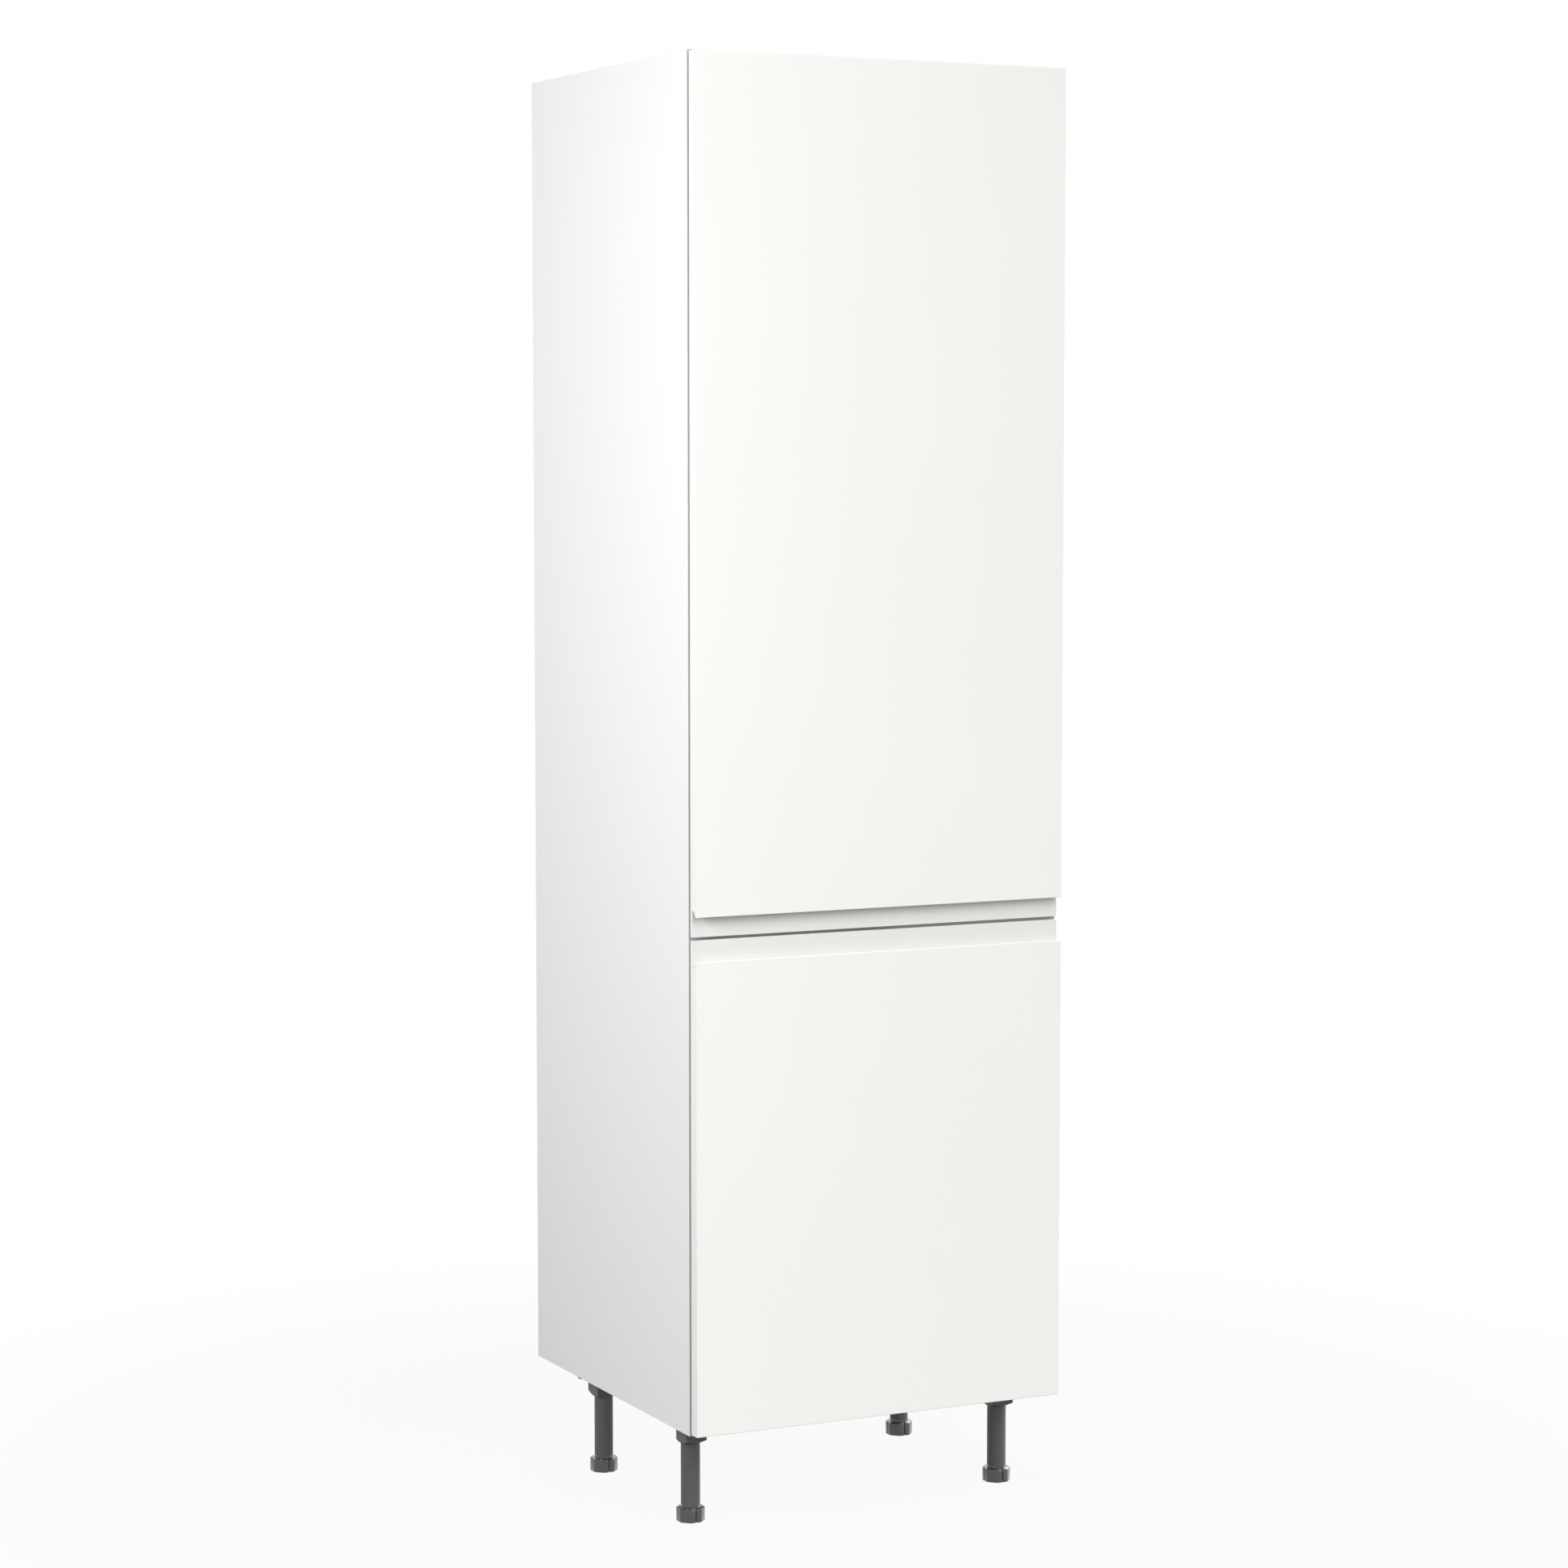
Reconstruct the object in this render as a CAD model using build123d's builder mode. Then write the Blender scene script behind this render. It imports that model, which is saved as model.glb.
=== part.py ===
"""Housing for a built-in fridge freezer: a tall carcass with two grooved doors on four legs.

Lengths are in millimetres. +X points right, +Y to the back and +Z up. The origin is on the floor,
under the middle of the housing. The doors hang on the right on concealed cup hinges.
"""
import os
from math import cos, pi

from build123d import *

os.makedirs("parts", exist_ok=True)

# Carcass boards
cabinet_width = 600
carcass_height = 1970
side_depth = 565
board = 18
ventilation_gap = 63
top_compartment_height = 136
rail_height = 120
middle_rail_height = 585
panel_round = 0.6

# Doors, with a finger groove across the whole width of the edges that meet
door_thickness = 20
door_gap = 2
door_side_inset = 2
door_end_inset = 2.5
door_between_gap = 5
lower_door_height = 715
door_round = 1
grip_height = 29.4
grip_setback = 14.2
grip_hook_reach = 11.4
grip_hook_depth = 8.7
grip_lip_land = 1.8
grip_lip_round = 0.7
grip_root_round = 1.1
bumper_radius = 4
bumper_slack = 0.2
bumper_end_inset = 15

# Legs: a socket under the base board, a tube and a screw foot
leg_height = 150
leg_side_inset = 43.6
leg_end_inset = 92.2
socket_plate = 6
socket_width = 33
socket_outer_reach = 22.5
socket_inner_reach = 15
socket_margin = 4.5
socket_round = 1.5
socket_depth = 28
socket_taper = 6
socket_taper_radius = 27
ear_side_reach = 22
ear_end_reach = 26
ear_radius = 9
ear_sides = 12
ear_height = 10
inner_ear_reach = 27
tube_radius = 14.2
spigot_radius = 11
spigot_length = 20
stem_radius = 8
stem_length = 62
stem_clearance = 0.06
stem_end_space = 8
foot_across = 40.2
foot_height = 24.6
foot_side_count = 8
foot_bevel = 2
foot_slot_width = 1.6
foot_slot_depth = 2.6

# Concealed hinges, placed by distances into the cabinet from the side board's inner face, and
# outwards from its front edge
hinge_end_inset = 100
cup_radius = 17.5
cup_sides = 20
cup_tab = 3.5
cup_depth = 13
cup_wall = 0.8
cup_flange = 1
cup_flange_margin = 1
cup_ear_radius = 5.5
cup_screw_offset = 9.5
cup_screw_spacing = 45
cup_boss_radius = 1.9
cup_boss_end = 10.4
front_pin_in = 15
front_pin_back = 12
rear_pin_in = 20.5
rear_pin_back = 21.3
deep_pin_offset = 11.8
deep_pin_depth = 9.5
shallow_pin_offset = 13.1
shallow_pin_depth = 3.3
pin_radius = 1.25
stud_radius = 1
pin_clearance = 0.05
layer_gap = 0.3
pin_sides = 8
eye_sides = 8
outer_link_width = 7
outer_link_thickness = 2.4
outer_eye_radius = 2.3
outer_elbow_offset = 3
outer_elbow_drop = 0.8
inner_link_thickness = 1.2
inner_link_height = 3.2
inner_eye_radius = 1.8
inner_elbow_rise = 2.6
inner_elbow_offset = 7.6
inner_shoulder_offset = 0.5
inner_shoulder_rise = 1.3
stud_end_gap = 0.5
arm_wall = 1.2
arm_eye_radius = 3.2
arm_height = 12.5
arm_back = 62
arm_neck_in = 9.5
arm_neck_back = 33
arm_neck_radius = 3
plate_thickness = 2.2
plate_screw_back = 37
plate_screw_spacing = 32
plate_wing_radius = 7
plate_rail_front = 27
plate_rail_clearance = 0.1
arm_screw_back = 53

# Fasteners
shank_sides = 6
head_sides = 8
screw_radius = 2
screw_head_radius = 3.6
screw_head_height = 1.5
screw_length = 12
small_screw_radius = 1.6
small_screw_length = 10
leg_screw_length = 12
dowel_radius = 4
dowel_length = 30
dowel_in_side = 10
dowel_sides = 8
dowel_end_inset = 60
rail_dowel_inset = 25
wall_hole_radius = 3
wall_hole_spacing = 400

# Places worked out from the sizes
total_depth = door_thickness + door_gap + side_depth
doors_front = -total_depth / 2
doors_back = doors_front + door_thickness
carcass_front = doors_back + door_gap
carcass_back = total_depth / 2
carcass_bottom = leg_height
carcass_top = leg_height + carcass_height
inner_right = cabinet_width / 2 - board
inner_width = cabinet_width - 2 * board
side_middle = (carcass_front + carcass_back) / 2
shelf_depth = side_depth - ventilation_gap
shelf_back = carcass_front + shelf_depth
shelf_bottom = carcass_top - board - top_compartment_height - board
door_width = cabinet_width - 2 * door_side_inset
lower_door_bottom = carcass_bottom + door_end_inset
lower_door_top = lower_door_bottom + lower_door_height
upper_door_bottom = lower_door_top + door_between_gap
upper_door_top = carcass_top - door_end_inset
upper_door_middle = (upper_door_bottom + upper_door_top) / 2
leg_x = cabinet_width / 2 - leg_side_inset
front_leg_y = carcass_front + leg_end_inset
back_leg_y = shelf_back - leg_end_inset

upper_hinges = {
    "upper_bottom_hinge": upper_door_bottom + hinge_end_inset,
    "upper_middle_hinge": upper_door_middle,
    "upper_top_hinge": upper_door_top - hinge_end_inset,
}
lower_hinges = {
    "lower_bottom_hinge": lower_door_bottom + hinge_end_inset,
    "lower_top_hinge": lower_door_top - hinge_end_inset,
}
all_hinges = upper_hinges | lower_hinges

# Hinge points in the plan view: (in, out)
cup_in = door_side_inset - board + cup_tab + cup_radius
front_pin = (front_pin_in, -front_pin_back)
rear_pin = (rear_pin_in, -rear_pin_back)
deep_pin = (cup_in - deep_pin_offset, door_gap + deep_pin_depth)
shallow_pin = (cup_in - shallow_pin_offset, door_gap + shallow_pin_depth)
outer_elbow = (cup_in + outer_elbow_offset, deep_pin[1] + outer_elbow_drop)
inner_elbow = (cup_in - inner_elbow_offset, shallow_pin[1] + inner_elbow_rise)
inner_shoulder = (cup_in - inner_shoulder_offset, shallow_pin[1] - inner_shoulder_rise)
arm_inside = outer_link_width / 2 + layer_gap
arm_outside = arm_inside + arm_wall
inner_link_inside = arm_outside + layer_gap
inner_link_outside = inner_link_inside + inner_link_thickness
cup_inner_radius = cup_radius - cup_wall
link_bore_radius = (pin_radius + pin_clearance) / cos(pi / pin_sides)
rail_top = arm_height - arm_wall

# Rows of dowels: height or depth of each row on the side boards' inner faces
board_heights = {
    "base_panel": carcass_bottom,
    "appliance_shelf": shelf_bottom,
    "top_panel": carcass_top - board,
}
rail_bottoms = {
    "bottom_back_rail": carcass_bottom,
    "middle_back_rail": carcass_bottom + middle_rail_height,
    "top_back_rail": carcass_top - rail_height,
}
board_dowel_ys = (carcass_front + dowel_end_inset, shelf_back - dowel_end_inset)
rail_dowel_y = carcass_back - board / 2


def rail_dowel_zs(bottom):
    """Heights of the two dowels at one end of a rail."""
    return (bottom + rail_dowel_inset, bottom + rail_height - rail_dowel_inset)


board_dowels = [(y, z + board / 2) for z in board_heights.values() for y in board_dowel_ys]
rail_dowels = [(rail_dowel_y, z) for low in rail_bottoms.values() for z in rail_dowel_zs(low)]
all_dowels = board_dowels + rail_dowels


def save(part, name):
    """Label a finished piece and write its STEP file."""
    part.label = name
    export_step(part, f"parts/{name}.step")


def plan_plane(height):
    """Horizontal plane at a hinge: x runs into the cabinet, y out of its front."""
    return Plane(origin=(inner_right, carcass_front, height), x_dir=(-1, 0, 0), z_dir=(0, 0, 1))


def board_face_plane(height):
    """Plane on the right side board's inner face: x runs to the back, z into the cabinet."""
    return Plane(origin=(inner_right, carcass_front, height), x_dir=(0, 1, 0), z_dir=(-1, 0, 0))


def cup_plane(height):
    """Plane on the door's back at a hinge cup's centre, facing the cabinet."""
    return Plane(origin=(inner_right - cup_in, doors_back, height), x_dir=(-1, 0, 0), z_dir=(0, 1, 0))


def cup_screw_places():
    """The two screws beside a cup, on the cup's plane."""
    return [(cup_screw_offset, side * cup_screw_spacing / 2) for side in (-1, 1)]


# Side boards, with blind holes for the dowels and, on the right, for the hinge plates' screws
def side_panel(side):
    """Tall side board, -1 for the left one and 1 for the right one."""
    inner = side * inner_right
    with BuildPart() as panel:
        with BuildSketch(Plane.YZ.offset(inner)):
            with Locations((side_middle, carcass_bottom + carcass_height / 2)):
                Rectangle(side_depth, carcass_height)
        extrude(amount=side * board)
        fillet(panel.edges().filter_by(Axis.Z).group_by(Axis.Y)[0], panel_round)
        with BuildSketch(Plane.YZ.offset(inner)):
            with Locations(*all_dowels):
                RegularPolygon(dowel_radius, dowel_sides)
        extrude(amount=side * dowel_in_side, mode=Mode.SUBTRACT)
        if side > 0:
            screw_y = carcass_front + plate_screw_back
            with BuildSketch(Plane.YZ.offset(inner)):
                for height in all_hinges.values():
                    with Locations((screw_y, height)):
                        with GridLocations(0, plate_screw_spacing, 1, 2):
                            RegularPolygon(screw_radius, shank_sides)
            extrude(amount=side * screw_length, mode=Mode.SUBTRACT)
    return panel.part


save(side_panel(-1), "left_side_panel")
save(side_panel(1), "right_side_panel")


# Level boards between the sides, short of the back to leave a ventilation gap
def level_board(bottom, legs=False):
    """Base board, shelf or top, dowelled at both ends; the base takes the legs' screws."""
    with BuildPart() as panel:
        with BuildSketch(Plane.XY.offset(bottom)):
            with Locations((0, (carcass_front + shelf_back) / 2)):
                Rectangle(inner_width, shelf_depth)
        extrude(amount=board)
        fillet(panel.edges().filter_by(Axis.X).group_by(Axis.Y)[0], panel_round)
        for side in (-1, 1):
            with BuildSketch(Plane.YZ.offset(side * inner_right)):
                with Locations(*[(y, bottom + board / 2) for y in board_dowel_ys]):
                    RegularPolygon(dowel_radius, dowel_sides)
            extrude(amount=-side * (dowel_length - dowel_in_side), mode=Mode.SUBTRACT)
        if legs:
            with BuildSketch(Plane.XY.offset(bottom)):
                with Locations(*leg_screw_places()):
                    RegularPolygon(screw_radius, shank_sides)
            extrude(amount=leg_screw_length, mode=Mode.SUBTRACT)
    return panel.part


def ear_places(outward):
    """Screw ears round a leg's axis: two towards the board's end, one inwards."""
    return [
        (-ear_side_reach, outward * ear_end_reach),
        (ear_side_reach, outward * ear_end_reach),
        (0, -outward * inner_ear_reach),
    ]


def leg_places():
    """Each leg's name, axis and the way to the nearer end of the base board."""
    return {
        "front_left": (-leg_x, front_leg_y, -1),
        "front_right": (leg_x, front_leg_y, -1),
        "back_left": (-leg_x, back_leg_y, 1),
        "back_right": (leg_x, back_leg_y, 1),
    }


def leg_screw_places():
    """Axes of all the legs' screws."""
    return [
        (x + ear_x, y + ear_y)
        for x, y, outward in leg_places().values()
        for ear_x, ear_y in ear_places(outward)
    ]


for board_name, board_bottom in board_heights.items():
    save(level_board(board_bottom, legs=board_name == "base_panel"), board_name)


# Rails on edge at the back; the top one has the holes for the wall fixings
def back_rail(bottom, wall_holes):
    """Upright rail between the side boards, flush with their back edges."""
    with BuildPart() as rail:
        with BuildSketch(Plane.XZ.offset(-carcass_back)):
            with Locations((0, bottom + rail_height / 2)):
                Rectangle(inner_width, rail_height)
            if wall_holes:
                with Locations((0, bottom + rail_height / 2)):
                    with GridLocations(wall_hole_spacing, 0, 2, 1):
                        Circle(wall_hole_radius, mode=Mode.SUBTRACT)
        extrude(amount=board)
        for side in (-1, 1):
            with BuildSketch(Plane.YZ.offset(side * inner_right)):
                with Locations(*[(rail_dowel_y, z) for z in rail_dowel_zs(bottom)]):
                    RegularPolygon(dowel_radius, dowel_sides)
            extrude(amount=-side * (dowel_length - dowel_in_side), mode=Mode.SUBTRACT)
    return rail.part


for rail_name, rail_bottom in rail_bottoms.items():
    save(back_rail(rail_bottom, rail_name == "top_back_rail"), rail_name)

# Dowels that join the boards and rails to the sides
with BuildPart() as dowels:
    for side in (-1, 1):
        with BuildSketch(Plane.YZ.offset(side * (inner_right + dowel_in_side))):
            with Locations(*all_dowels):
                RegularPolygon(dowel_radius, dowel_sides)
        extrude(amount=-side * dowel_length)
save(dowels.part, "dowels")


def at_height(height):
    """Filter for the vertices at one height of a side view's sketch."""
    return lambda vertex: abs(vertex.Y - height) < panel_round


# Doors: the groove's profile is drawn in the side view and extruded over the full width
def door(bottom, top, grip_at, hinge_heights):
    """One door; grip_at is 1 for a groove in its top edge and -1 for one in its bottom edge."""
    plain_end = bottom if grip_at > 0 else top
    grip_end = top if grip_at > 0 else bottom
    lip_end = grip_end - grip_at * grip_height
    hook_end = lip_end - grip_at * grip_hook_depth
    with BuildPart() as leaf:
        with BuildSketch(Plane.YZ.offset(-door_width / 2)) as profile:
            with BuildLine():
                Polyline(
                    (doors_front, plain_end),
                    (doors_front, lip_end),
                    (doors_front + grip_lip_land, lip_end),
                    (doors_front + grip_hook_reach, hook_end),
                    (doors_front + grip_setback, hook_end),
                    (doors_front + grip_setback, grip_end),
                    (doors_back, grip_end),
                    (doors_back, plain_end),
                    close=True,
                )
            make_face()
            lip = profile.vertices().filter_by(at_height(lip_end))
            fillet(lip, grip_lip_round)
            root = profile.vertices().filter_by(at_height(hook_end))
            fillet(root, grip_root_round)
            front_corner = profile.vertices().filter_by(at_height(plain_end)).sort_by(Axis.X)[0]
            fillet(front_corner, door_round)
        extrude(amount=door_width)
        for height in hinge_heights:
            with BuildSketch(cup_plane(height)):
                RegularPolygon(cup_radius, cup_sides)
            extrude(amount=-cup_depth, mode=Mode.SUBTRACT)
            with BuildSketch(cup_plane(height)):
                with Locations(*cup_screw_places()):
                    RegularPolygon(small_screw_radius, shank_sides)
            extrude(amount=-small_screw_length, mode=Mode.SUBTRACT)
    return leaf.part


save(door(upper_door_bottom, upper_door_top, -1, upper_hinges.values()), "upper_door")
save(door(lower_door_bottom, lower_door_top, 1, lower_hinges.values()), "lower_door")


# Soft bumpers on the doors' backs, where they meet the left side board
def bumpers(bottom, top):
    """Two round bumpers near the ends of a door's free edge."""
    with BuildPart() as pads:
        with BuildSketch(Plane.XZ.offset(-doors_back)):
            for height in (bottom + bumper_end_inset, top - bumper_end_inset):
                with Locations((-(inner_right + board / 2), height)):
                    RegularPolygon(bumper_radius, ear_sides)
        extrude(amount=-(door_gap - bumper_slack))
    return pads.part


save(bumpers(upper_door_bottom, upper_door_top), "upper_door_bumpers")
save(bumpers(lower_door_bottom, lower_door_top), "lower_door_bumpers")


# Leg sockets: an eared plate under the base board, and a hollow block whose end tapers to the tube
def leg_socket(x, y, outward):
    """Moulded socket with three screw ears."""
    block_depth = socket_outer_reach + socket_inner_reach
    block_shift = outward * (socket_outer_reach - socket_inner_reach) / 2
    top = Plane(origin=(x, y, leg_height), z_dir=(0, 0, 1))
    with BuildPart() as socket:
        with BuildSketch(top):
            with Locations((0, block_shift)):
                RectangleRounded(socket_width, block_depth, socket_round)
        extrude(amount=-socket_depth - socket_taper)
        with BuildSketch(Plane(origin=(x, y, leg_height), x_dir=(1, 0, 0), z_dir=(0, -1, 0))):
            with BuildLine():
                Polyline(
                    (0, 0),
                    (socket_taper_radius, 0),
                    (socket_taper_radius, -socket_depth),
                    (tube_radius, -socket_depth - socket_taper),
                    (0, -socket_depth - socket_taper),
                    close=True,
                )
            make_face()
        revolve(axis=Axis((x, y, 0), (0, 0, 1)), mode=Mode.INTERSECT)
        with BuildSketch(top):
            with Locations((0, block_shift)):
                RectangleRounded(socket_width + 2 * socket_margin, block_depth, socket_margin)
            for place in ear_places(outward):
                with BuildSketch(mode=Mode.PRIVATE) as ear:
                    with Locations(place):
                        RegularPolygon(ear_radius, ear_sides)
                    RegularPolygon(tube_radius / 2, ear_sides)
                    make_hull()
                add(ear.sketch)
        extrude(amount=-socket_plate)
        with BuildSketch(top):
            with Locations(*ear_places(outward)):
                RegularPolygon(ear_radius, ear_sides)
        extrude(amount=-ear_height)
        with BuildSketch(top.offset(-socket_depth - socket_taper)):
            Circle(spigot_radius)
        extrude(amount=spigot_length, mode=Mode.SUBTRACT)
        with BuildSketch(top):
            with Locations(*ear_places(outward)):
                RegularPolygon(screw_radius, shank_sides)
        extrude(amount=-ear_height, mode=Mode.SUBTRACT)
    return socket.part


def leg_tube(x, y):
    """Round tube with a spigot in the socket and a blind bore for the foot's stem."""
    shoulder = leg_height - socket_depth - socket_taper
    with BuildPart() as tube:
        with BuildSketch(Plane(origin=(x, y, foot_height), z_dir=(0, 0, 1))):
            Circle(tube_radius)
        extrude(amount=shoulder - foot_height)
        with BuildSketch(Plane(origin=(x, y, shoulder), z_dir=(0, 0, 1))):
            Circle(spigot_radius)
        extrude(amount=spigot_length)
        with BuildSketch(Plane(origin=(x, y, foot_height), z_dir=(0, 0, 1))):
            Circle(stem_radius + stem_clearance)
        extrude(amount=stem_length + stem_end_space, mode=Mode.SUBTRACT)
    return tube.part


def foot(x, y):
    """Eight-sided collar that is turned by hand, on a stem that screws into the tube."""
    floor = Plane(origin=(x, y, 0), z_dir=(0, 0, 1))
    with BuildPart() as collar:
        with BuildSketch(floor):
            RegularPolygon(
                foot_across / 2, foot_side_count, major_radius=False, rotation=180 / foot_side_count
            )
        extrude(amount=foot_height)
        chamfer(collar.faces().sort_by(Axis.Z)[0].edges(), foot_bevel)
        chamfer(collar.faces().sort_by(Axis.Z)[-1].edges(), foot_bevel)
        with BuildSketch(floor):
            with PolarLocations(foot_across / 2, 4):
                Rectangle(2 * foot_slot_depth, foot_slot_width)
        extrude(amount=foot_height, mode=Mode.SUBTRACT)
        with BuildSketch(floor.offset(foot_height)):
            Circle(stem_radius)
        extrude(amount=stem_length)
    return collar.part


for leg_name, (leg_axis_x, leg_axis_y, leg_outward) in leg_places().items():
    save(leg_socket(leg_axis_x, leg_axis_y, leg_outward), f"{leg_name}_leg_socket")
    save(leg_tube(leg_axis_x, leg_axis_y), f"{leg_name}_leg_tube")
    save(foot(leg_axis_x, leg_axis_y), f"{leg_name}_foot")

# Screws that hold the leg sockets
with BuildPart() as leg_screws:
    with BuildSketch(Plane.XY.offset(leg_height - ear_height)):
        with Locations(*leg_screw_places()):
            RegularPolygon(screw_radius, shank_sides)
    extrude(amount=ear_height + leg_screw_length)
    with BuildSketch(Plane.XY.offset(leg_height - ear_height)):
        with Locations(*leg_screw_places()):
            RegularPolygon(screw_head_radius, head_sides)
    extrude(amount=-screw_head_height)
save(leg_screws.part, "leg_screws")


# Hinge pieces, drawn in the plan view and extruded up and down from the hinge's middle
def mounting_plate(height):
    """Winged plate on the side board, with a rail that the arm slides over."""
    rail_length = arm_back - plate_rail_front
    with BuildPart() as plate:
        with BuildSketch(board_face_plane(height)):
            with Locations((plate_screw_back, 0)):
                with GridLocations(0, plate_screw_spacing, 1, 2):
                    RegularPolygon(plate_wing_radius, ear_sides)
            make_hull()
            with Locations((plate_rail_front + rail_length / 2, 0)):
                Rectangle(rail_length, 2 * (arm_inside - plate_rail_clearance))
        extrude(amount=plate_thickness)
        with BuildSketch(board_face_plane(height)):
            with Locations((plate_rail_front + rail_length / 2, 0)):
                Rectangle(rail_length, 2 * (arm_inside - plate_rail_clearance))
        extrude(amount=rail_top)
        with BuildSketch(board_face_plane(height)):
            with Locations((plate_screw_back, 0)):
                with GridLocations(0, plate_screw_spacing, 1, 2):
                    RegularPolygon(screw_radius, shank_sides)
            with Locations((arm_screw_back, 0)):
                RegularPolygon(screw_radius, shank_sides)
        extrude(amount=rail_top, mode=Mode.SUBTRACT)
    return plate.part


def arm_profile():
    """Side view of the arm: a straight back and a raised nose round its two pins."""
    foot_in = plate_thickness + plate_rail_clearance
    with BuildSketch(mode=Mode.PRIVATE) as nose:
        with Locations(front_pin, rear_pin):
            RegularPolygon(arm_eye_radius, eye_sides)
        with Locations((arm_neck_in, -arm_neck_back)):
            RegularPolygon(arm_neck_radius, eye_sides)
        make_hull()
    with BuildSketch(mode=Mode.PRIVATE) as profile:
        add(nose.sketch)
        with Locations(((foot_in + arm_height) / 2, -(arm_neck_back + arm_back) / 2)):
            Rectangle(arm_height - foot_in, arm_back - arm_neck_back)
    return profile.sketch


def hinge_arm(height):
    """Channel with two side walls that carry the pins, and a web that ends behind them."""
    plan = plan_plane(height)
    profile = arm_profile()
    with BuildPart() as arm:
        with BuildSketch(plan):
            add(profile)
        extrude(amount=arm_outside, both=True)
        with BuildSketch(plan):
            with Locations((-arm_wall, 0)):
                add(profile)
            with Locations((rear_pin_in, -rear_pin_back / 2)):
                Rectangle(2 * rear_pin_in, rear_pin_back + 2 * arm_eye_radius)
        extrude(amount=arm_inside, both=True, mode=Mode.SUBTRACT)
        with BuildSketch(plan):
            with Locations(front_pin, rear_pin):
                RegularPolygon(pin_radius, pin_sides)
        extrude(amount=arm_outside, both=True, mode=Mode.SUBTRACT)
        with BuildSketch(board_face_plane(height).offset(rail_top)):
            with Locations((arm_screw_back, 0)):
                RegularPolygon(screw_radius, shank_sides)
        extrude(amount=arm_wall, mode=Mode.SUBTRACT)
    return arm.part


def outer_link(height):
    """Bent link in the middle of the arm: it rounds the cup's mouth as the door opens."""
    plan = plan_plane(height)
    with BuildPart() as link:
        with BuildSketch(plan):
            with BuildLine() as path:
                Polyline(deep_pin, outer_elbow, front_pin)
            trace(path.line, outer_link_thickness)
            with Locations(deep_pin, front_pin):
                RegularPolygon(outer_eye_radius, eye_sides)
            with Locations(deep_pin, front_pin):
                RegularPolygon(link_bore_radius, pin_sides, mode=Mode.SUBTRACT)
        extrude(amount=outer_link_width / 2, both=True)
    return link.part


def inner_link(height):
    """Pair of bent plates astride the arm, each with its stud in the cup."""
    plan = plan_plane(height)
    stud_span = (cup_inner_radius**2 - (shallow_pin_offset + stud_radius) ** 2) ** 0.5 - stud_end_gap
    with BuildPart() as plates:
        for side in (-1, 1):
            with BuildSketch(plan.offset(side * inner_link_inside)):
                with BuildLine() as path:
                    Polyline(shallow_pin, inner_elbow, inner_shoulder, rear_pin)
                trace(path.line, inner_link_height)
                with Locations(rear_pin):
                    RegularPolygon(arm_eye_radius, eye_sides)
                with Locations(shallow_pin):
                    RegularPolygon(inner_eye_radius, eye_sides)
                with Locations(rear_pin):
                    RegularPolygon(link_bore_radius, pin_sides, mode=Mode.SUBTRACT)
            extrude(amount=side * inner_link_thickness)
            with BuildSketch(plan.offset(side * inner_link_inside)):
                with Locations(shallow_pin):
                    RegularPolygon(stud_radius, pin_sides)
            extrude(amount=side * (stud_span - inner_link_inside))
    return plates.part


def hinge_cup(height):
    """Round cup pressed into the door, with a flange, two screw ears and bosses for its pin."""
    face = cup_plane(height)
    with BuildPart() as cup:
        with BuildSketch(face):
            RegularPolygon(cup_radius, cup_sides)
        extrude(amount=-cup_depth)
        with BuildSketch(face):
            RegularPolygon(cup_radius + cup_flange_margin, cup_sides)
            with Locations(*cup_screw_places()):
                RegularPolygon(cup_ear_radius, ear_sides)
            make_hull()
            with Locations(*cup_screw_places()):
                RegularPolygon(small_screw_radius, shank_sides, mode=Mode.SUBTRACT)
        extrude(amount=cup_flange)
        with BuildSketch(face.offset(cup_flange)):
            RegularPolygon(cup_inner_radius, cup_sides, major_radius=False)
        extrude(amount=-(cup_depth - cup_wall + cup_flange), mode=Mode.SUBTRACT)
        boss_start = inner_link_outside + layer_gap
        for side in (-1, 1):
            with BuildSketch(plan_plane(height).offset(side * boss_start)):
                with Locations(deep_pin):
                    RegularPolygon(cup_boss_radius, pin_sides)
            extrude(amount=side * (cup_boss_end - boss_start))
        with BuildSketch(plan_plane(height)):
            with Locations(deep_pin):
                RegularPolygon(pin_radius, pin_sides)
        extrude(amount=cup_boss_end, both=True, mode=Mode.SUBTRACT)
    return cup.part


for hinge_name, hinge_height in all_hinges.items():
    save(mounting_plate(hinge_height), f"{hinge_name}_plate")
    save(hinge_arm(hinge_height), f"{hinge_name}_arm")
    save(outer_link(hinge_height), f"{hinge_name}_outer_link")
    save(inner_link(hinge_height), f"{hinge_name}_inner_link")
    save(hinge_cup(hinge_height), f"{hinge_name}_cup")

# Pins through the arms
with BuildPart() as arm_pins:
    for height in all_hinges.values():
        with BuildSketch(plan_plane(height)):
            with Locations(front_pin):
                RegularPolygon(pin_radius, pin_sides)
        extrude(amount=arm_outside, both=True)
        with BuildSketch(plan_plane(height)):
            with Locations(rear_pin):
                RegularPolygon(pin_radius, pin_sides)
        extrude(amount=inner_link_outside, both=True)
save(arm_pins.part, "hinge_arm_pins")


def cup_pins(heights):
    """One pin across each cup, held in the cup's two bosses."""
    with BuildPart() as pins:
        for height in heights:
            with BuildSketch(plan_plane(height)):
                with Locations(deep_pin):
                    RegularPolygon(pin_radius, pin_sides)
            extrude(amount=cup_boss_end, both=True)
    return pins.part


save(cup_pins(upper_hinges.values()), "upper_door_cup_pins")
save(cup_pins(lower_hinges.values()), "lower_door_cup_pins")


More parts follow.
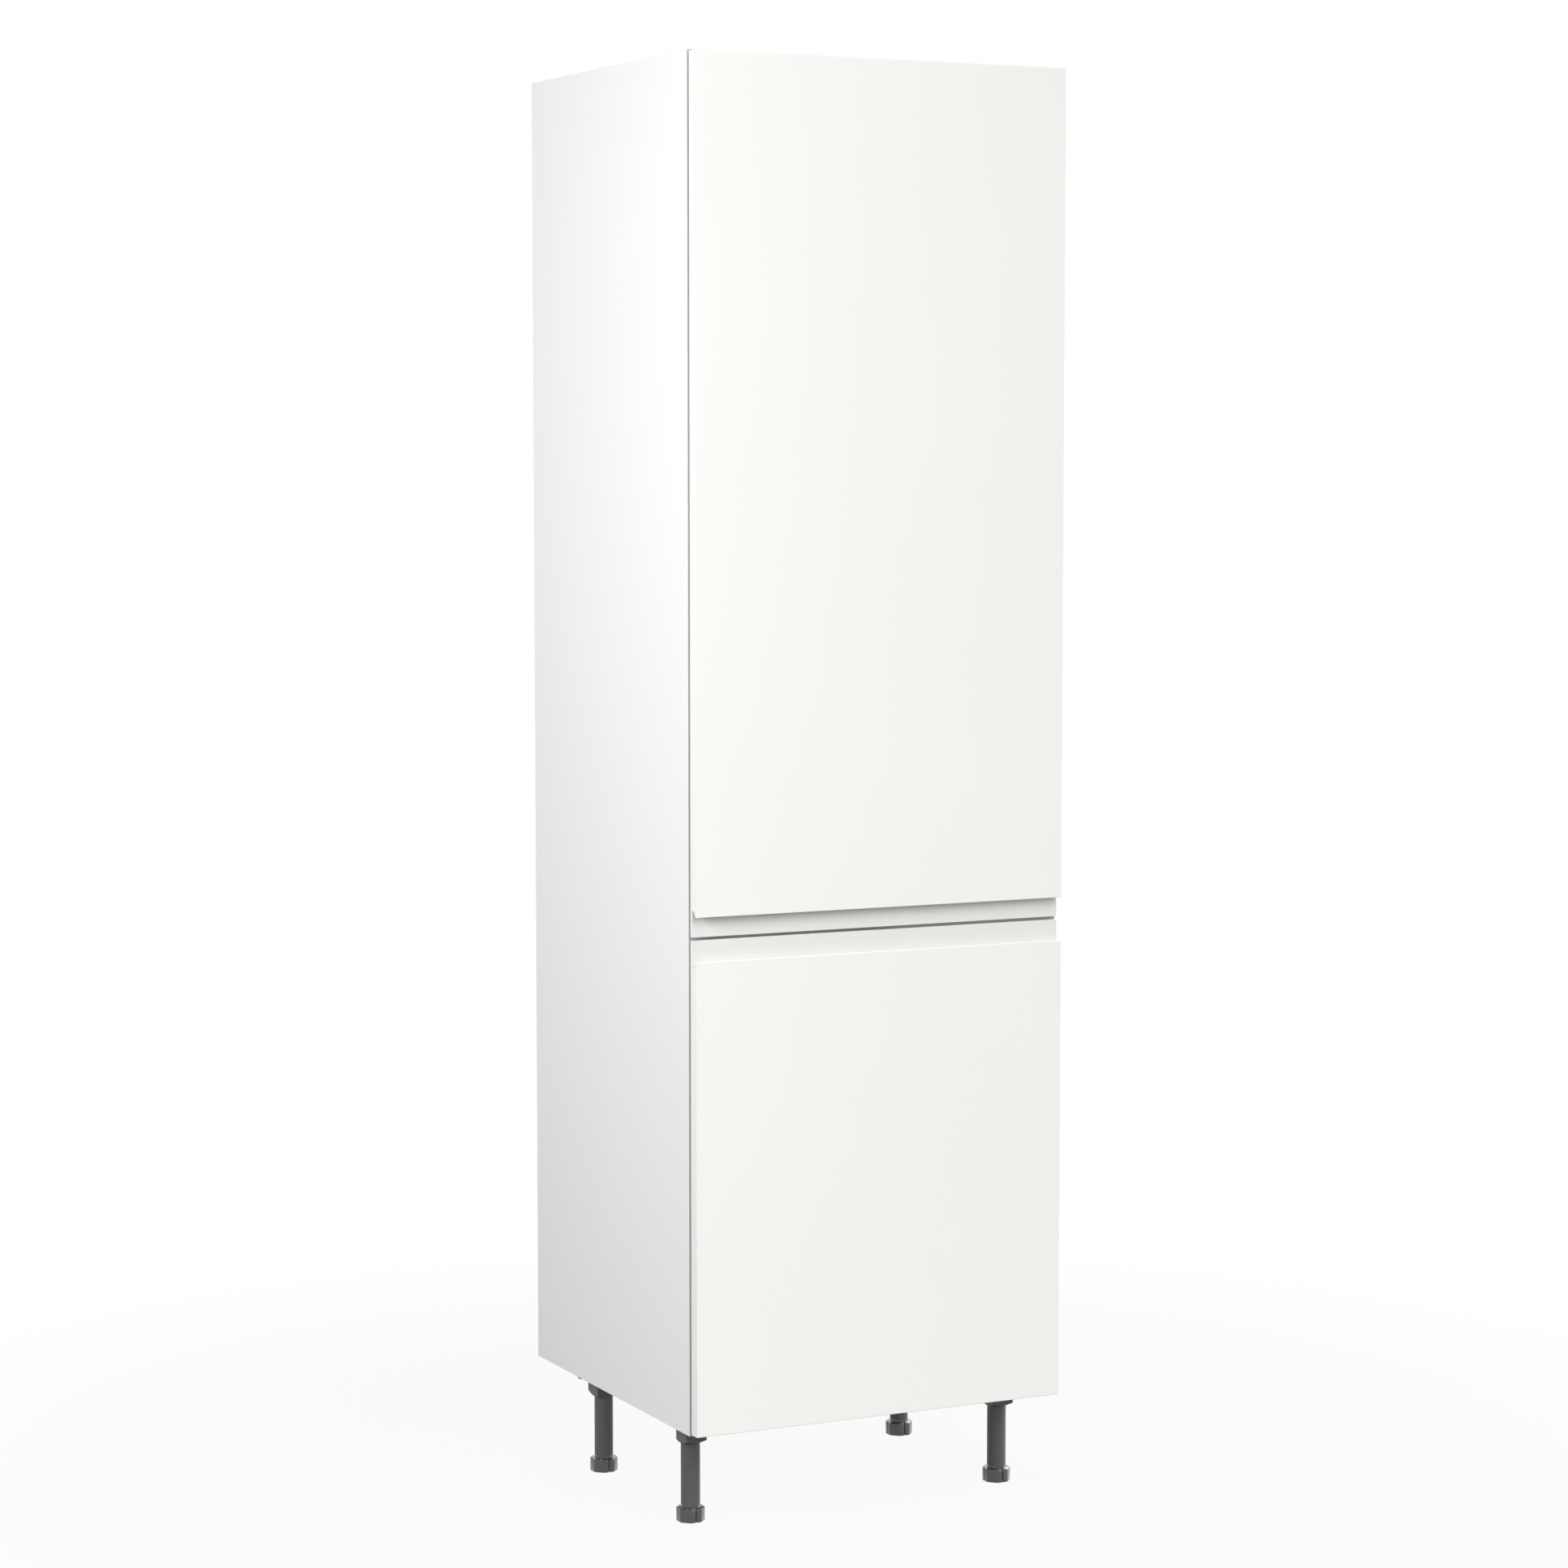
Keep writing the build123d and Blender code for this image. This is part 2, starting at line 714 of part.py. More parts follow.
def cup_screws(heights):
    """Two screws through each cup's flange into the door."""
    with BuildPart() as screws:
        for height in heights:
            with BuildSketch(cup_plane(height).offset(cup_flange)):
                with Locations(*cup_screw_places()):
                    RegularPolygon(small_screw_radius, shank_sides)
            extrude(amount=-(small_screw_length + cup_flange))
            with BuildSketch(cup_plane(height).offset(cup_flange)):
                with Locations(*cup_screw_places()):
                    RegularPolygon(screw_head_radius, head_sides)
            extrude(amount=screw_head_height)
    return screws.part


save(cup_screws(upper_hinges.values()), "upper_door_cup_screws")
save(cup_screws(lower_hinges.values()), "lower_door_cup_screws")

# Screws that hold the mounting plates to the side board
with BuildPart() as plate_screws:
    for height in all_hinges.values():
        face = board_face_plane(height).offset(plate_thickness)
        with BuildSketch(face):
            with Locations((plate_screw_back, 0)):
                with GridLocations(0, plate_screw_spacing, 1, 2):
                    RegularPolygon(screw_radius, shank_sides)
        extrude(amount=-(plate_thickness + screw_length))
        with BuildSketch(face):
            with Locations((plate_screw_back, 0)):
                with GridLocations(0, plate_screw_spacing, 1, 2):
                    RegularPolygon(screw_head_radius, head_sides)
        extrude(amount=screw_head_height)
save(plate_screws.part, "hinge_plate_screws")

# Screws that hold the arms on the mounting plates
with BuildPart() as arm_screws:
    for height in all_hinges.values():
        face = board_face_plane(height).offset(arm_height)
        with BuildSketch(face):
            with Locations((arm_screw_back, 0)):
                RegularPolygon(screw_radius, shank_sides)
        extrude(amount=-arm_height)
        with BuildSketch(face):
            with Locations((arm_screw_back, 0)):
                RegularPolygon(screw_head_radius, head_sides)
        extrude(amount=screw_head_height)
save(arm_screws.part, "hinge_arm_screws")
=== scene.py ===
"""Looks of a tall white housing for a built-in fridge freezer, with two grooved doors on four legs.

Lengths are in metres in the housing's own frame: +X right, +Y to the back, +Z up from the floor.
"""

import logging
import math
from dataclasses import dataclass, field
from enum import Enum
from typing import Iterable, Sequence

import bmesh
import bpy
from mathutils import Matrix, Vector


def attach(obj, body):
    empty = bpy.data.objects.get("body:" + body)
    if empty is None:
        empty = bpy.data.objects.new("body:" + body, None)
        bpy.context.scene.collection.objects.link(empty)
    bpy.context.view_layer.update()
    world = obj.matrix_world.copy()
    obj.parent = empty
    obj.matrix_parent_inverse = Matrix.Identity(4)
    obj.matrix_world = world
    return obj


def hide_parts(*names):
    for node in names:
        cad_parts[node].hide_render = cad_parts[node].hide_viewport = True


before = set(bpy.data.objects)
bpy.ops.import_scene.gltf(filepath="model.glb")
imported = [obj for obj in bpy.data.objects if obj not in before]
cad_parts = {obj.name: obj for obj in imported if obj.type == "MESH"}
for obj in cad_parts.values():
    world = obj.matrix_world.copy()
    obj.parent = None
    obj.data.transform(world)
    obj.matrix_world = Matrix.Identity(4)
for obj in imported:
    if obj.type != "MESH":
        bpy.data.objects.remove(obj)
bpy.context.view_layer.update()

LOG = logging.getLogger("housing")
Colour = tuple[float, float, float]
Place = tuple[float, float, float]
Pair = tuple[float, float]
Material = bpy.types.Material
Shape = bmesh.types.BMesh
Socket = bpy.types.NodeSocket
Tree = bpy.types.NodeTree
WHITE = (1.0, 1.0, 1.0, 1.0)
TINY = 1e-6  # Metres under which two places are one
MOST = 0.9  # Share of a length that counts as nearly all of it


class Slot(Enum):
    """The record's material slots."""

    BOARD = "carcass_board"
    DOOR = "door_face"
    PLASTIC = "leg_plastic"
    HINGE = "hinge_steel"
    PIN = "pin_steel"
    SCREW = "screw_steel"
    BUMPER = "bumper_rubber"
    DOWEL = "dowel_wood"


class Look(Enum):
    """Finishes that share another finish's slot."""

    FOOT = "smooth_grey_plastic"
    # Painted shade: grey on the front edge bands, standing for the shade in the gap behind the
    # doors
    EDGING_PAINTED_SHADE = "painted_shade_edging"


class Way(Enum):
    """Which way a screw's head looks: the turn from straight up in radians, and its axis."""

    DOWN = (math.pi, "X")
    INWARDS = (-math.pi / 2, "Y")
    BACK = (-math.pi / 2, "X")


# Shared shader effects
def new_group(
    name: str, inputs: dict[str, float], outputs: Sequence[str]
) -> tuple[Tree, bpy.types.Node, bpy.types.Node]:
    """Start a node group.

    Args:
        name: Its name.
        inputs: Float inputs with their default values.
        outputs: Names of the float outputs.

    Returns:
        The group, its input node and its output node.
    """
    group = bpy.data.node_groups.new(name, "ShaderNodeTree")
    for label, value in inputs.items():
        socket = group.interface.new_socket(label, in_out="INPUT", socket_type="NodeSocketFloat")
        socket.default_value = value
    for label in outputs:
        group.interface.new_socket(label, in_out="OUTPUT", socket_type="NodeSocketFloat")
    return group, group.nodes.new("NodeGroupInput"), group.nodes.new("NodeGroupOutput")


def math_node(tree: Tree, operation: str, *values: Socket | float) -> Socket:
    """Place a Math node.

    Args:
        tree: The node tree.
        operation: The node's operation.
        values: Its inputs in order, each a constant or a socket to wire in.

    Returns:
        Its result.
    """
    node = tree.nodes.new("ShaderNodeMath")
    node.operation = operation
    for socket, value in zip(node.inputs, values):
        if isinstance(value, Socket):
            tree.links.new(value, socket)
        else:
            socket.default_value = value
    return node.outputs[0]


def noise_node(tree: Tree, place: Socket, scale: Socket, detail: float) -> bpy.types.Node:
    """Place a Noise Texture node.

    Args:
        tree: The node tree.
        place: The coordinates.
        scale: The noise's scale.
        detail: The noise's detail.

    Returns:
        The node.
    """
    node = tree.nodes.new("ShaderNodeTexNoise")
    node.inputs["Detail"].default_value = detail
    tree.links.new(place, node.inputs["Vector"])
    tree.links.new(scale, node.inputs["Scale"])
    return node


def grain_group() -> Tree:
    """Fine moulded or sprayed grain, as a height from 0 to 1 and a slow mottle.

    Returns:
        The node group.
    """
    group, start, end = new_group(
        "fine_grain", {"Grain per metre": 1500.0, "Mottle per metre": 6.0}, ("Height", "Mottle")
    )
    place = group.nodes.new("ShaderNodeTexCoord").outputs["Object"]
    fine = noise_node(group, place, start.outputs["Grain per metre"], detail=3.0)
    fine.inputs["Roughness"].default_value = 0.55
    slow = noise_node(group, place, start.outputs["Mottle per metre"], detail=2.0)
    group.links.new(fine.outputs["Fac"], end.inputs["Height"])
    group.links.new(slow.outputs["Fac"], end.inputs["Mottle"])
    return group


def edge_group() -> Tree:
    """Mask of the sharp outer edges, broken up so that it looks handled.

    Returns:
        The node group.
    """
    group, start, end = new_group(
        "edge_wear",
        {"Threshold": 0.53, "Softness": 0.06, "Amount": 0.5, "Breaks per metre": 90.0},
        ("Mask",),
    )
    nodes, links = group.nodes, group.links
    shape = nodes.new("ShaderNodeNewGeometry")
    place = nodes.new("ShaderNodeTexCoord").outputs["Object"]
    breaks = noise_node(group, place, start.outputs["Breaks per metre"], detail=4.0)
    top = math_node(group, "ADD", start.outputs["Threshold"], start.outputs["Softness"])
    ramp = nodes.new("ShaderNodeMapRange")
    links.new(shape.outputs["Pointiness"], ramp.inputs["Value"])
    links.new(start.outputs["Threshold"], ramp.inputs["From Min"])
    links.new(top, ramp.inputs["From Max"])
    broken = math_node(group, "MULTIPLY", ramp.outputs["Result"], breaks.outputs["Fac"])
    mask = math_node(group, "MULTIPLY", broken, start.outputs["Amount"])
    links.new(mask, end.inputs["Mask"])
    return group


def streak_group() -> Tree:
    """Long fine streaks along Z, as left by rolling or drawing metal and by wood grain.

    Returns:
        The node group.
    """
    group, start, end = new_group(
        "streaks", {"Across per metre": 2500.0, "Stretch": 0.04}, ("Value",)
    )
    nodes, links = group.nodes, group.links
    place = nodes.new("ShaderNodeTexCoord")
    split = nodes.new("ShaderNodeSeparateXYZ")
    join = nodes.new("ShaderNodeCombineXYZ")
    links.new(place.outputs["Object"], split.inputs[0])
    squeezed = math_node(group, "MULTIPLY", split.outputs["Z"], start.outputs["Stretch"])
    links.new(split.outputs["X"], join.inputs["X"])
    links.new(split.outputs["Y"], join.inputs["Y"])
    links.new(squeezed, join.inputs["Z"])
    noise = noise_node(group, join.outputs[0], start.outputs["Across per metre"], detail=5.0)
    links.new(noise.outputs["Fac"], end.inputs["Value"])
    return group


@dataclass
class Effects:
    """The shader node groups that the finishes share."""

    grain: Tree = field(default_factory=grain_group)
    edge: Tree = field(default_factory=edge_group)
    streaks: Tree = field(default_factory=streak_group)


class ShaderBench:
    """A new material with its Principled BSDF, and short ways to wire it."""

    noise_span = (0.3, 0.7)

    def __init__(self, name: str) -> None:
        """Start a material.

        Args:
            name: The material's name.
        """
        self.material = bpy.data.materials.new(name)
        self.material.use_nodes = True
        self.tree = self.material.node_tree
        self.nodes, self.links = self.tree.nodes, self.tree.links
        self.shader = self.nodes["Principled BSDF"]

    def plain(self, **values: float | Colour) -> None:
        """Set constant values on the shader's own sockets.

        Args:
            values: Socket names with underscores for spaces, and their values.
        """
        for name, value in values.items():
            socket = self.shader.inputs[name.replace("_", " ")]
            socket.default_value = (*value, 1.0) if isinstance(value, tuple) else value

    def effect(self, group: Tree, **values: float) -> bpy.types.Node:
        """Place a shared effect.

        Args:
            group: The effect's node group.
            values: Input names with underscores for spaces, and their values.

        Returns:
            The group node.
        """
        node = self.nodes.new("ShaderNodeGroup")
        node.node_tree = group
        for name, value in values.items():
            node.inputs[name.replace("_", " ")].default_value = value
        return node

    def between(self, value: Socket, low: float, high: float) -> Socket:
        """Map a noise value to a range.

        Args:
            value: A value that varies about 0.5.
            low: Result at the low end of noise_span.
            high: Result at its high end.

        Returns:
            The mapped value.
        """
        node = self.nodes.new("ShaderNodeMapRange")
        self.links.new(value, node.inputs["Value"])
        ends = ("From Min", "From Max", "To Min", "To Max")
        for end, number in zip(ends, (*self.noise_span, low, high)):
            node.inputs[end].default_value = number
        return node.outputs["Result"]

    def blend(self, factor: Socket, low: Colour | Socket, high: Colour | Socket) -> Socket:
        """Mix two colours.

        Args:
            factor: The share of the second colour.
            low: First colour.
            high: Second colour.

        Returns:
            The mixed colour.
        """
        node = self.nodes.new("ShaderNodeMix")
        node.data_type = "RGBA"
        self.links.new(factor, node.inputs["Factor"])
        colours = [s for s in node.inputs if s.type == "RGBA"]
        for socket, colour in zip(colours, (low, high)):
            if isinstance(colour, tuple):
                socket.default_value = (*colour, 1.0)
            else:
                self.links.new(colour, socket)
        return next(s for s in node.outputs if s.type == "RGBA")

    def band(self, value: Socket, low: float, high: float) -> Socket:
        """Mask of the values in a range.

        Args:
            value: The value.
            low: The range's lower end.
            high: The range's upper end.

        Returns:
            1 in the range and 0 outside it.
        """
        return math_node(self.tree, "COMPARE", value, (low + high) / 2, (high - low) / 2)

    def place(self) -> dict[str, Socket]:
        """Split the Object coordinates.

        Returns:
            The coordinates by their letters, in metres.
        """
        source = self.nodes.new("ShaderNodeTexCoord")
        split = self.nodes.new("ShaderNodeSeparateXYZ")
        self.links.new(source.outputs["Object"], split.inputs[0])
        return {letter: split.outputs[letter] for letter in "XYZ"}

    def relief(self, height: Socket, strength: float, distance: float) -> None:
        """Bump the surface.

        Args:
            height: The relief's height.
            strength: Bump strength.
            distance: Depth of the relief.
        """
        bump = self.nodes.new("ShaderNodeBump")
        bump.inputs["Strength"].default_value = strength
        bump.inputs["Distance"].default_value = distance
        self.links.new(height, bump.inputs["Height"])
        self.links.new(bump.outputs["Normal"], self.shader.inputs["Normal"])

    def feed(self, socket: str, value: Socket) -> None:
        """Wire a value into one of the shader's sockets.

        Args:
            socket: The socket's name.
            value: The value.
        """
        self.links.new(value, self.shader.inputs[socket])


@dataclass(frozen=True)
class LacquerFinish:
    """Sprayed white lacquer with a trace of orange peel, and painted shade in the finger groove."""

    light: Colour = (0.905, 0.893, 0.872)
    deep: Colour = (0.895, 0.880, 0.857)
    # Painted shade: a darker colour on the finger groove's back face and hook, standing for the
    # shade in the recess
    groove_painted_shade: Colour = (0.785, 0.775, 0.757)
    painted_shade_depths: Pair = (-0.2912, -0.2786)
    painted_shade_heights: Pair = (0.8285, 0.9115)
    roughness: Pair = (0.30, 0.38)
    peel_per_metre: float = 420.0
    peel_strength: float = 0.12
    peel_depth: float = 0.00012

    def material(self, effects: Effects) -> Material:
        """Build the material.

        Args:
            effects: The shared effects.

        Returns:
            The material.
        """
        bench = ShaderBench("white_lacquer")
        bench.plain(Coat_Weight=0.12, Coat_Roughness=0.12, Specular_IOR_Level=0.45)
        grain = bench.effect(
            effects.grain, Grain_per_metre=self.peel_per_metre, Mottle_per_metre=3.0
        )
        place = bench.place()
        # Painted shade: the darker colour fills the box of the finger groove in Y and Z
        deep = bench.band(place["Y"], *self.painted_shade_depths)
        low = bench.band(place["Z"], *self.painted_shade_heights)
        groove_painted_shade = math_node(bench.tree, "MULTIPLY", deep, low)
        coat = bench.blend(grain.outputs["Mottle"], self.deep, self.light)
        bench.feed("Base Color", bench.blend(groove_painted_shade, coat, self.groove_painted_shade))
        bench.feed("Roughness", bench.between(grain.outputs["Mottle"], *self.roughness))
        bench.relief(grain.outputs["Height"], self.peel_strength, self.peel_depth)
        return bench.material


@dataclass(frozen=True)
class MelamineFinish:
    """Melamine board with a fine pearl emboss, and raw chipboard on its back edges."""

    name: str = "white_melamine"
    face: Colour = (0.875, 0.877, 0.880)
    shade: Colour = (0.862, 0.864, 0.868)
    chip_light: Colour = (0.62, 0.47, 0.31)
    chip_dark: Colour = (0.30, 0.20, 0.11)
    roughness: Pair = (0.44, 0.52)
    emboss_per_metre: float = 1100.0
    emboss_strength: float = 0.18
    emboss_depth: float = 0.00008
    raw_back_from: float = 0.2304
    raw_lying_to: float = 0.26
    raw_side_from: float = 0.2819
    looks_back_from: float = 0.9
    chips_per_metre: float = 420.0

    def material(self, effects: Effects) -> Material:
        """Build the material.

        Args:
            effects: The shared effects.

        Returns:
            The material.
        """
        bench = ShaderBench(self.name)
        bench.plain(Specular_IOR_Level=0.42)
        grain = bench.effect(
            effects.grain, Grain_per_metre=self.emboss_per_metre, Mottle_per_metre=4.0
        )
        face = bench.blend(grain.outputs["Mottle"], self.shade, self.face)
        chips = bench.nodes.new("ShaderNodeTexVoronoi")
        chips.inputs["Scale"].default_value = self.chips_per_metre
        place = bench.nodes.new("ShaderNodeTexCoord").outputs["Object"]
        bench.links.new(place, chips.inputs["Vector"])
        speckle = bench.nodes.new("ShaderNodeSeparateColor")
        bench.links.new(chips.outputs["Color"], speckle.inputs[0])
        core = bench.blend(speckle.outputs[0], self.chip_dark, self.chip_light)
        raw = self._raw_mask(bench)
        bench.feed("Base Color", bench.blend(raw, face, core))
        smooth = bench.between(grain.outputs["Mottle"], *self.roughness)
        bench.feed("Roughness", math_node(bench.tree, "MAXIMUM", raw, smooth))
        bench.relief(grain.outputs["Height"], self.emboss_strength, self.emboss_depth)
        return bench.material

    def _raw_mask(self, bench: ShaderBench) -> Socket:
        """Mask of the back edges of the sides and of the three lying boards.

        Args:
            bench: The material that is being built.

        Returns:
            The mask.
        """
        shape = bench.nodes.new("ShaderNodeNewGeometry")
        normal = bench.nodes.new("ShaderNodeSeparateXYZ")
        bench.links.new(shape.outputs["Normal"], normal.inputs[0])
        where, tree = bench.place(), bench.tree
        looks_back = math_node(tree, "GREATER_THAN", normal.outputs["Y"], self.looks_back_from)
        behind = math_node(tree, "GREATER_THAN", where["Y"], self.raw_back_from)
        on_lying = math_node(tree, "LESS_THAN", where["Y"], self.raw_lying_to)
        across = math_node(tree, "ABSOLUTE", where["X"])
        on_side = math_node(tree, "GREATER_THAN", across, self.raw_side_from)
        board = math_node(tree, "MAXIMUM", on_lying, on_side)
        return math_node(tree, "MULTIPLY", math_node(tree, "MULTIPLY", looks_back, behind), board)


@dataclass(frozen=True)
class PlasticFinish:
    """Moulded plastic or rubber with a fine grain and rubbed edges."""

    name: str
    base: Colour
    rubbed: Colour
    roughness: Pair = (0.42, 0.52)
    grain_per_metre: float = 2600.0
    relief: float = 0.3
    coat: float = 0.0
    relief_depth: float = 0.00006
    dimmed: float = 0.9

    def material(self, effects: Effects) -> Material:
        """Build the material.

        Args:
            effects: The shared effects.

        Returns:
            The material.
        """
        bench = ShaderBench(self.name)
        bench.plain(Specular_IOR_Level=0.5, Coat_Weight=self.coat, Coat_Roughness=0.1)
        grain = bench.effect(
            effects.grain, Grain_per_metre=self.grain_per_metre, Mottle_per_metre=22.0
        )
        wear = bench.effect(effects.edge, Threshold=0.52, Softness=0.08, Amount=0.55)
        dim = tuple(self.dimmed * part for part in self.base)
        base = bench.blend(grain.outputs["Mottle"], dim, self.base)
        bench.feed("Base Color", bench.blend(wear.outputs["Mask"], base, self.rubbed))
        bench.feed("Roughness", bench.between(grain.outputs["Mottle"], *self.roughness))
        bench.relief(grain.outputs["Height"], self.relief, self.relief_depth)
        return bench.material


@dataclass(frozen=True)
class MetalFinish:
    """Plated or turned steel with fine streaks and brighter edges."""

    name: str
    base: Colour
    bright: Colour
    roughness: Pair
    streaks_per_metre: float = 2600.0
    relief: float = 0.15
    relief_depth: float = 0.00004

    def material(self, effects: Effects) -> Material:
        """Build the material.

        Args:
            effects: The shared effects.

        Returns:
            The material.
        """
        bench = ShaderBench(self.name)
        bench.plain(Metallic=1.0)
        streaks = bench.effect(effects.streaks, Across_per_metre=self.streaks_per_metre)
        wear = bench.effect(effects.edge, Threshold=0.51, Softness=0.1, Amount=0.8)
        bench.feed("Base Color", bench.blend(wear.outputs["Mask"], self.base, self.bright))
        bench.feed("Roughness", bench.between(streaks.outputs["Value"], *self.roughness))
        bench.relief(streaks.outputs["Value"], self.relief, self.relief_depth)
        return bench.material


@dataclass(frozen=True)
class BeechFinish:
    """Turned beech with short grain flecks."""

    light: Colour = (0.66, 0.47, 0.29)
    dark: Colour = (0.50, 0.33, 0.18)
    roughness: Pair = (0.55, 0.7)
    relief: float = 0.2
    relief_depth: float = 0.00005

    def material(self, effects: Effects) -> Material:
        """Build the material.

        Args:
            effects: The shared effects.

        Returns:
            The material.
        """
        bench = ShaderBench("beech")
        streaks = bench.effect(effects.streaks, Across_per_metre=1400.0, Stretch=0.9)
        bench.feed("Base Color", bench.blend(streaks.outputs["Value"], self.dark, self.light))
        bench.feed("Roughness", bench.between(streaks.outputs["Value"], *self.roughness))
        bench.relief(streaks.outputs["Value"], self.relief, self.relief_depth)
        return bench.material


@dataclass
class Palette:
    """Every finish's material, by the record's slot or by look."""

    effects: Effects = field(default_factory=Effects)
    materials: dict[Slot | Look, Material] = field(default_factory=dict)

    def __post_init__(self) -> None:
        """Build the materials."""
        finishes = {
            Slot.DOOR: LacquerFinish(),
            Slot.BOARD: MelamineFinish(),
            Slot.PLASTIC: PlasticFinish(
                "dark_grey_plastic", (0.064, 0.066, 0.068), (0.105, 0.108, 0.111)
            ),
            Slot.HINGE: MetalFinish(
                "nickel_plated_steel", (0.60, 0.59, 0.57), (0.82, 0.81, 0.79), (0.22, 0.34)
            ),
            Slot.PIN: MetalFinish(
                "turned_steel", (0.48, 0.48, 0.48), (0.7, 0.7, 0.7), (0.2, 0.3)
            ),
            Slot.SCREW: MetalFinish(
                "zinc_plated_steel", (0.56, 0.57, 0.58), (0.8, 0.8, 0.81), (0.28, 0.42)
            ),
            Slot.BUMPER: PlasticFinish(
                "soft_pad_rubber",
                (0.72, 0.72, 0.70),
                (0.8, 0.8, 0.78),
                (0.3, 0.4),
                grain_per_metre=900.0,
                relief=0.1,
            ),
            Slot.DOWEL: BeechFinish(),
            Look.FOOT: PlasticFinish(
                Look.FOOT.value,
                (0.026, 0.0275, 0.029),
                (0.05, 0.052, 0.055),
                (0.2, 0.28),
                relief=0.08,
                coat=1.0,
            ),
            # Painted shade: grey melamine for the front edge bands, standing for the shade in the
            # gap behind the doors
            Look.EDGING_PAINTED_SHADE: MelamineFinish(
                Look.EDGING_PAINTED_SHADE.value, (0.43, 0.43, 0.43), (0.415, 0.415, 0.415)
            ),
        }
        for key, finish in finishes.items():
            self.materials[key] = finish.material(self.effects)

    def dress(self, node: str, slot: Slot) -> None:
        """Give a node of the frame its material.

        Args:
            node: The node's name.
            slot: The slot whose material it takes.
        """
        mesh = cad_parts[node].data
        mesh.materials.clear()
        mesh.materials.append(self.materials[slot])


def new_object(name: str, data: bpy.types.ID) -> bpy.types.Object:
    """Put a new object into the scene.

    Args:
        name: The object's name.
        data: Its mesh, lamp or camera.

    Returns:
        The object.
    """
    thing = bpy.data.objects.new(name, data)
    bpy.context.scene.collection.objects.link(thing)
    return thing


@dataclass
class Workshop:
    """Turns finished bmeshes into pieces that ride on their bodies."""

    palette: Palette
    made: list[str] = field(default_factory=list)

    def piece(
        self,
        name: str,
        shape: Shape,
        slot: Slot,
        body: str,
        stands_for: Sequence[str] = (),
        smooth_under: float = 35.0,
        look: Look | None = None,
    ) -> None:
        """Make one piece from a bmesh, and free the bmesh.

        Args:
            name: The piece's name.
            shape: The finished shape, in place.
            slot: The material slot.
            body: The body that it rides on.
            stands_for: Nodes of the frame that it replaces.
            smooth_under: Faces are shaded smooth where they meet under this angle, in degrees.
            look: Finish to take in place of the slot's own.
        """
        bmesh.ops.recalc_face_normals(shape, faces=shape.faces[:])
        for surface in shape.faces:
            surface.smooth = True
        limit = math.radians(smooth_under)
        for edge in shape.edges:
            edge.smooth = len(edge.link_faces) == 2 and edge.calc_face_angle(0.0) < limit
        mesh = bpy.data.meshes.new(name)
        shape.to_mesh(mesh)
        shape.free()
        mesh.materials.append(self.palette.materials[look or slot])
        thing = new_object(name, mesh)
        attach(thing, body)
        if stands_for:
            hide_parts(*stands_for)
        self.made.append(name)
        LOG.info("piece %s rides on %s", name, body)


# Shapes for the sub-assemblies
def bevel_edges(
    shape: Shape, edges: Iterable[bmesh.types.BMEdge], width: float, segments: int = 2
) -> None:
    """Round some edges.

    Args:
        shape: The bmesh.
        edges: The edges to round.
        width: Width of the rounding.
        segments: Number of steps across it.
    """
    bmesh.ops.bevel(
        shape,
        geom=list(edges),
        offset=width,
        affect="EDGES",
        segments=segments,
        profile=0.5,
        material=-1,
    )


def box_shape(low: Place, high: Place, rounding: float) -> Shape:
    """Box with rounded edges.

    Args:
        low: Lowest corner.
        high: Highest corner.
        rounding: Width of the edge rounding.

    Returns:
        The bmesh.
    """
    shape = bmesh.new()
    bmesh.ops.create_cube(shape, size=1.0)
    size = [b - a for a, b in zip(low, high)]
    middle = [(a + b) / 2 for a, b in zip(low, high)]
    bmesh.ops.scale(shape, vec=size, verts=shape.verts[:])
    bmesh.ops.translate(shape, vec=middle, verts=shape.verts[:])
    bevel_edges(shape, shape.edges[:], rounding)
    return shape


def add_cone(shape: Shape, bottom: float, height: float, radii: Pair, segments: int) -> None:
    """Add a closed cone or cylinder on the Z axis.

    Args:
        shape: The bmesh that grows.
        bottom: Where its lower end is.
        height: Its own height.
        radii: Its radius at the lower and at the upper end.
        segments: Steps round it.
    """
    verts = bmesh.ops.create_cone(
        shape,
        cap_ends=True,
        segments=segments,
        radius1=radii[0],
        radius2=radii[1],
        depth=height,
    )["verts"]
    bmesh.ops.translate(shape, vec=(0, 0, bottom + height / 2), verts=verts)


def mark_cross(
    shape: Shape, half: float, reach: float, over: float = -math.inf
) -> list[tuple[bmesh.types.BMFace, float]]:
    """Cut faces along the sides and ends of a cross on the X and Y axes.

    Args:
        shape: The bmesh.
        half: Half the width of the cross' arms.
        reach: How far the arms reach from the middle.
        over: Faces are cut if their middle is over this height.

    Returns:
        The faces in line with the arms, and how far out each is.
    """
    for axis in (Vector((1, 0, 0)), Vector((0, 1, 0))):
        for distance in (-reach, -half, half, reach):
            faces = [f for f in shape.faces if f.calc_center_median().z > over]
            edges = {e for f in faces for e in f.edges}
            verts = {v for f in faces for v in f.verts}
            bmesh.ops.bisect_plane(
                shape, geom=[*faces, *edges, *verts], plane_co=axis * distance, plane_no=axis
            )
    arms = []
    for face in shape.faces:
        centre = face.calc_center_median()
        across, along = sorted((abs(centre.x), abs(centre.y)))
        if centre.z > over and across < half:
            arms.append((face, along))
    return arms


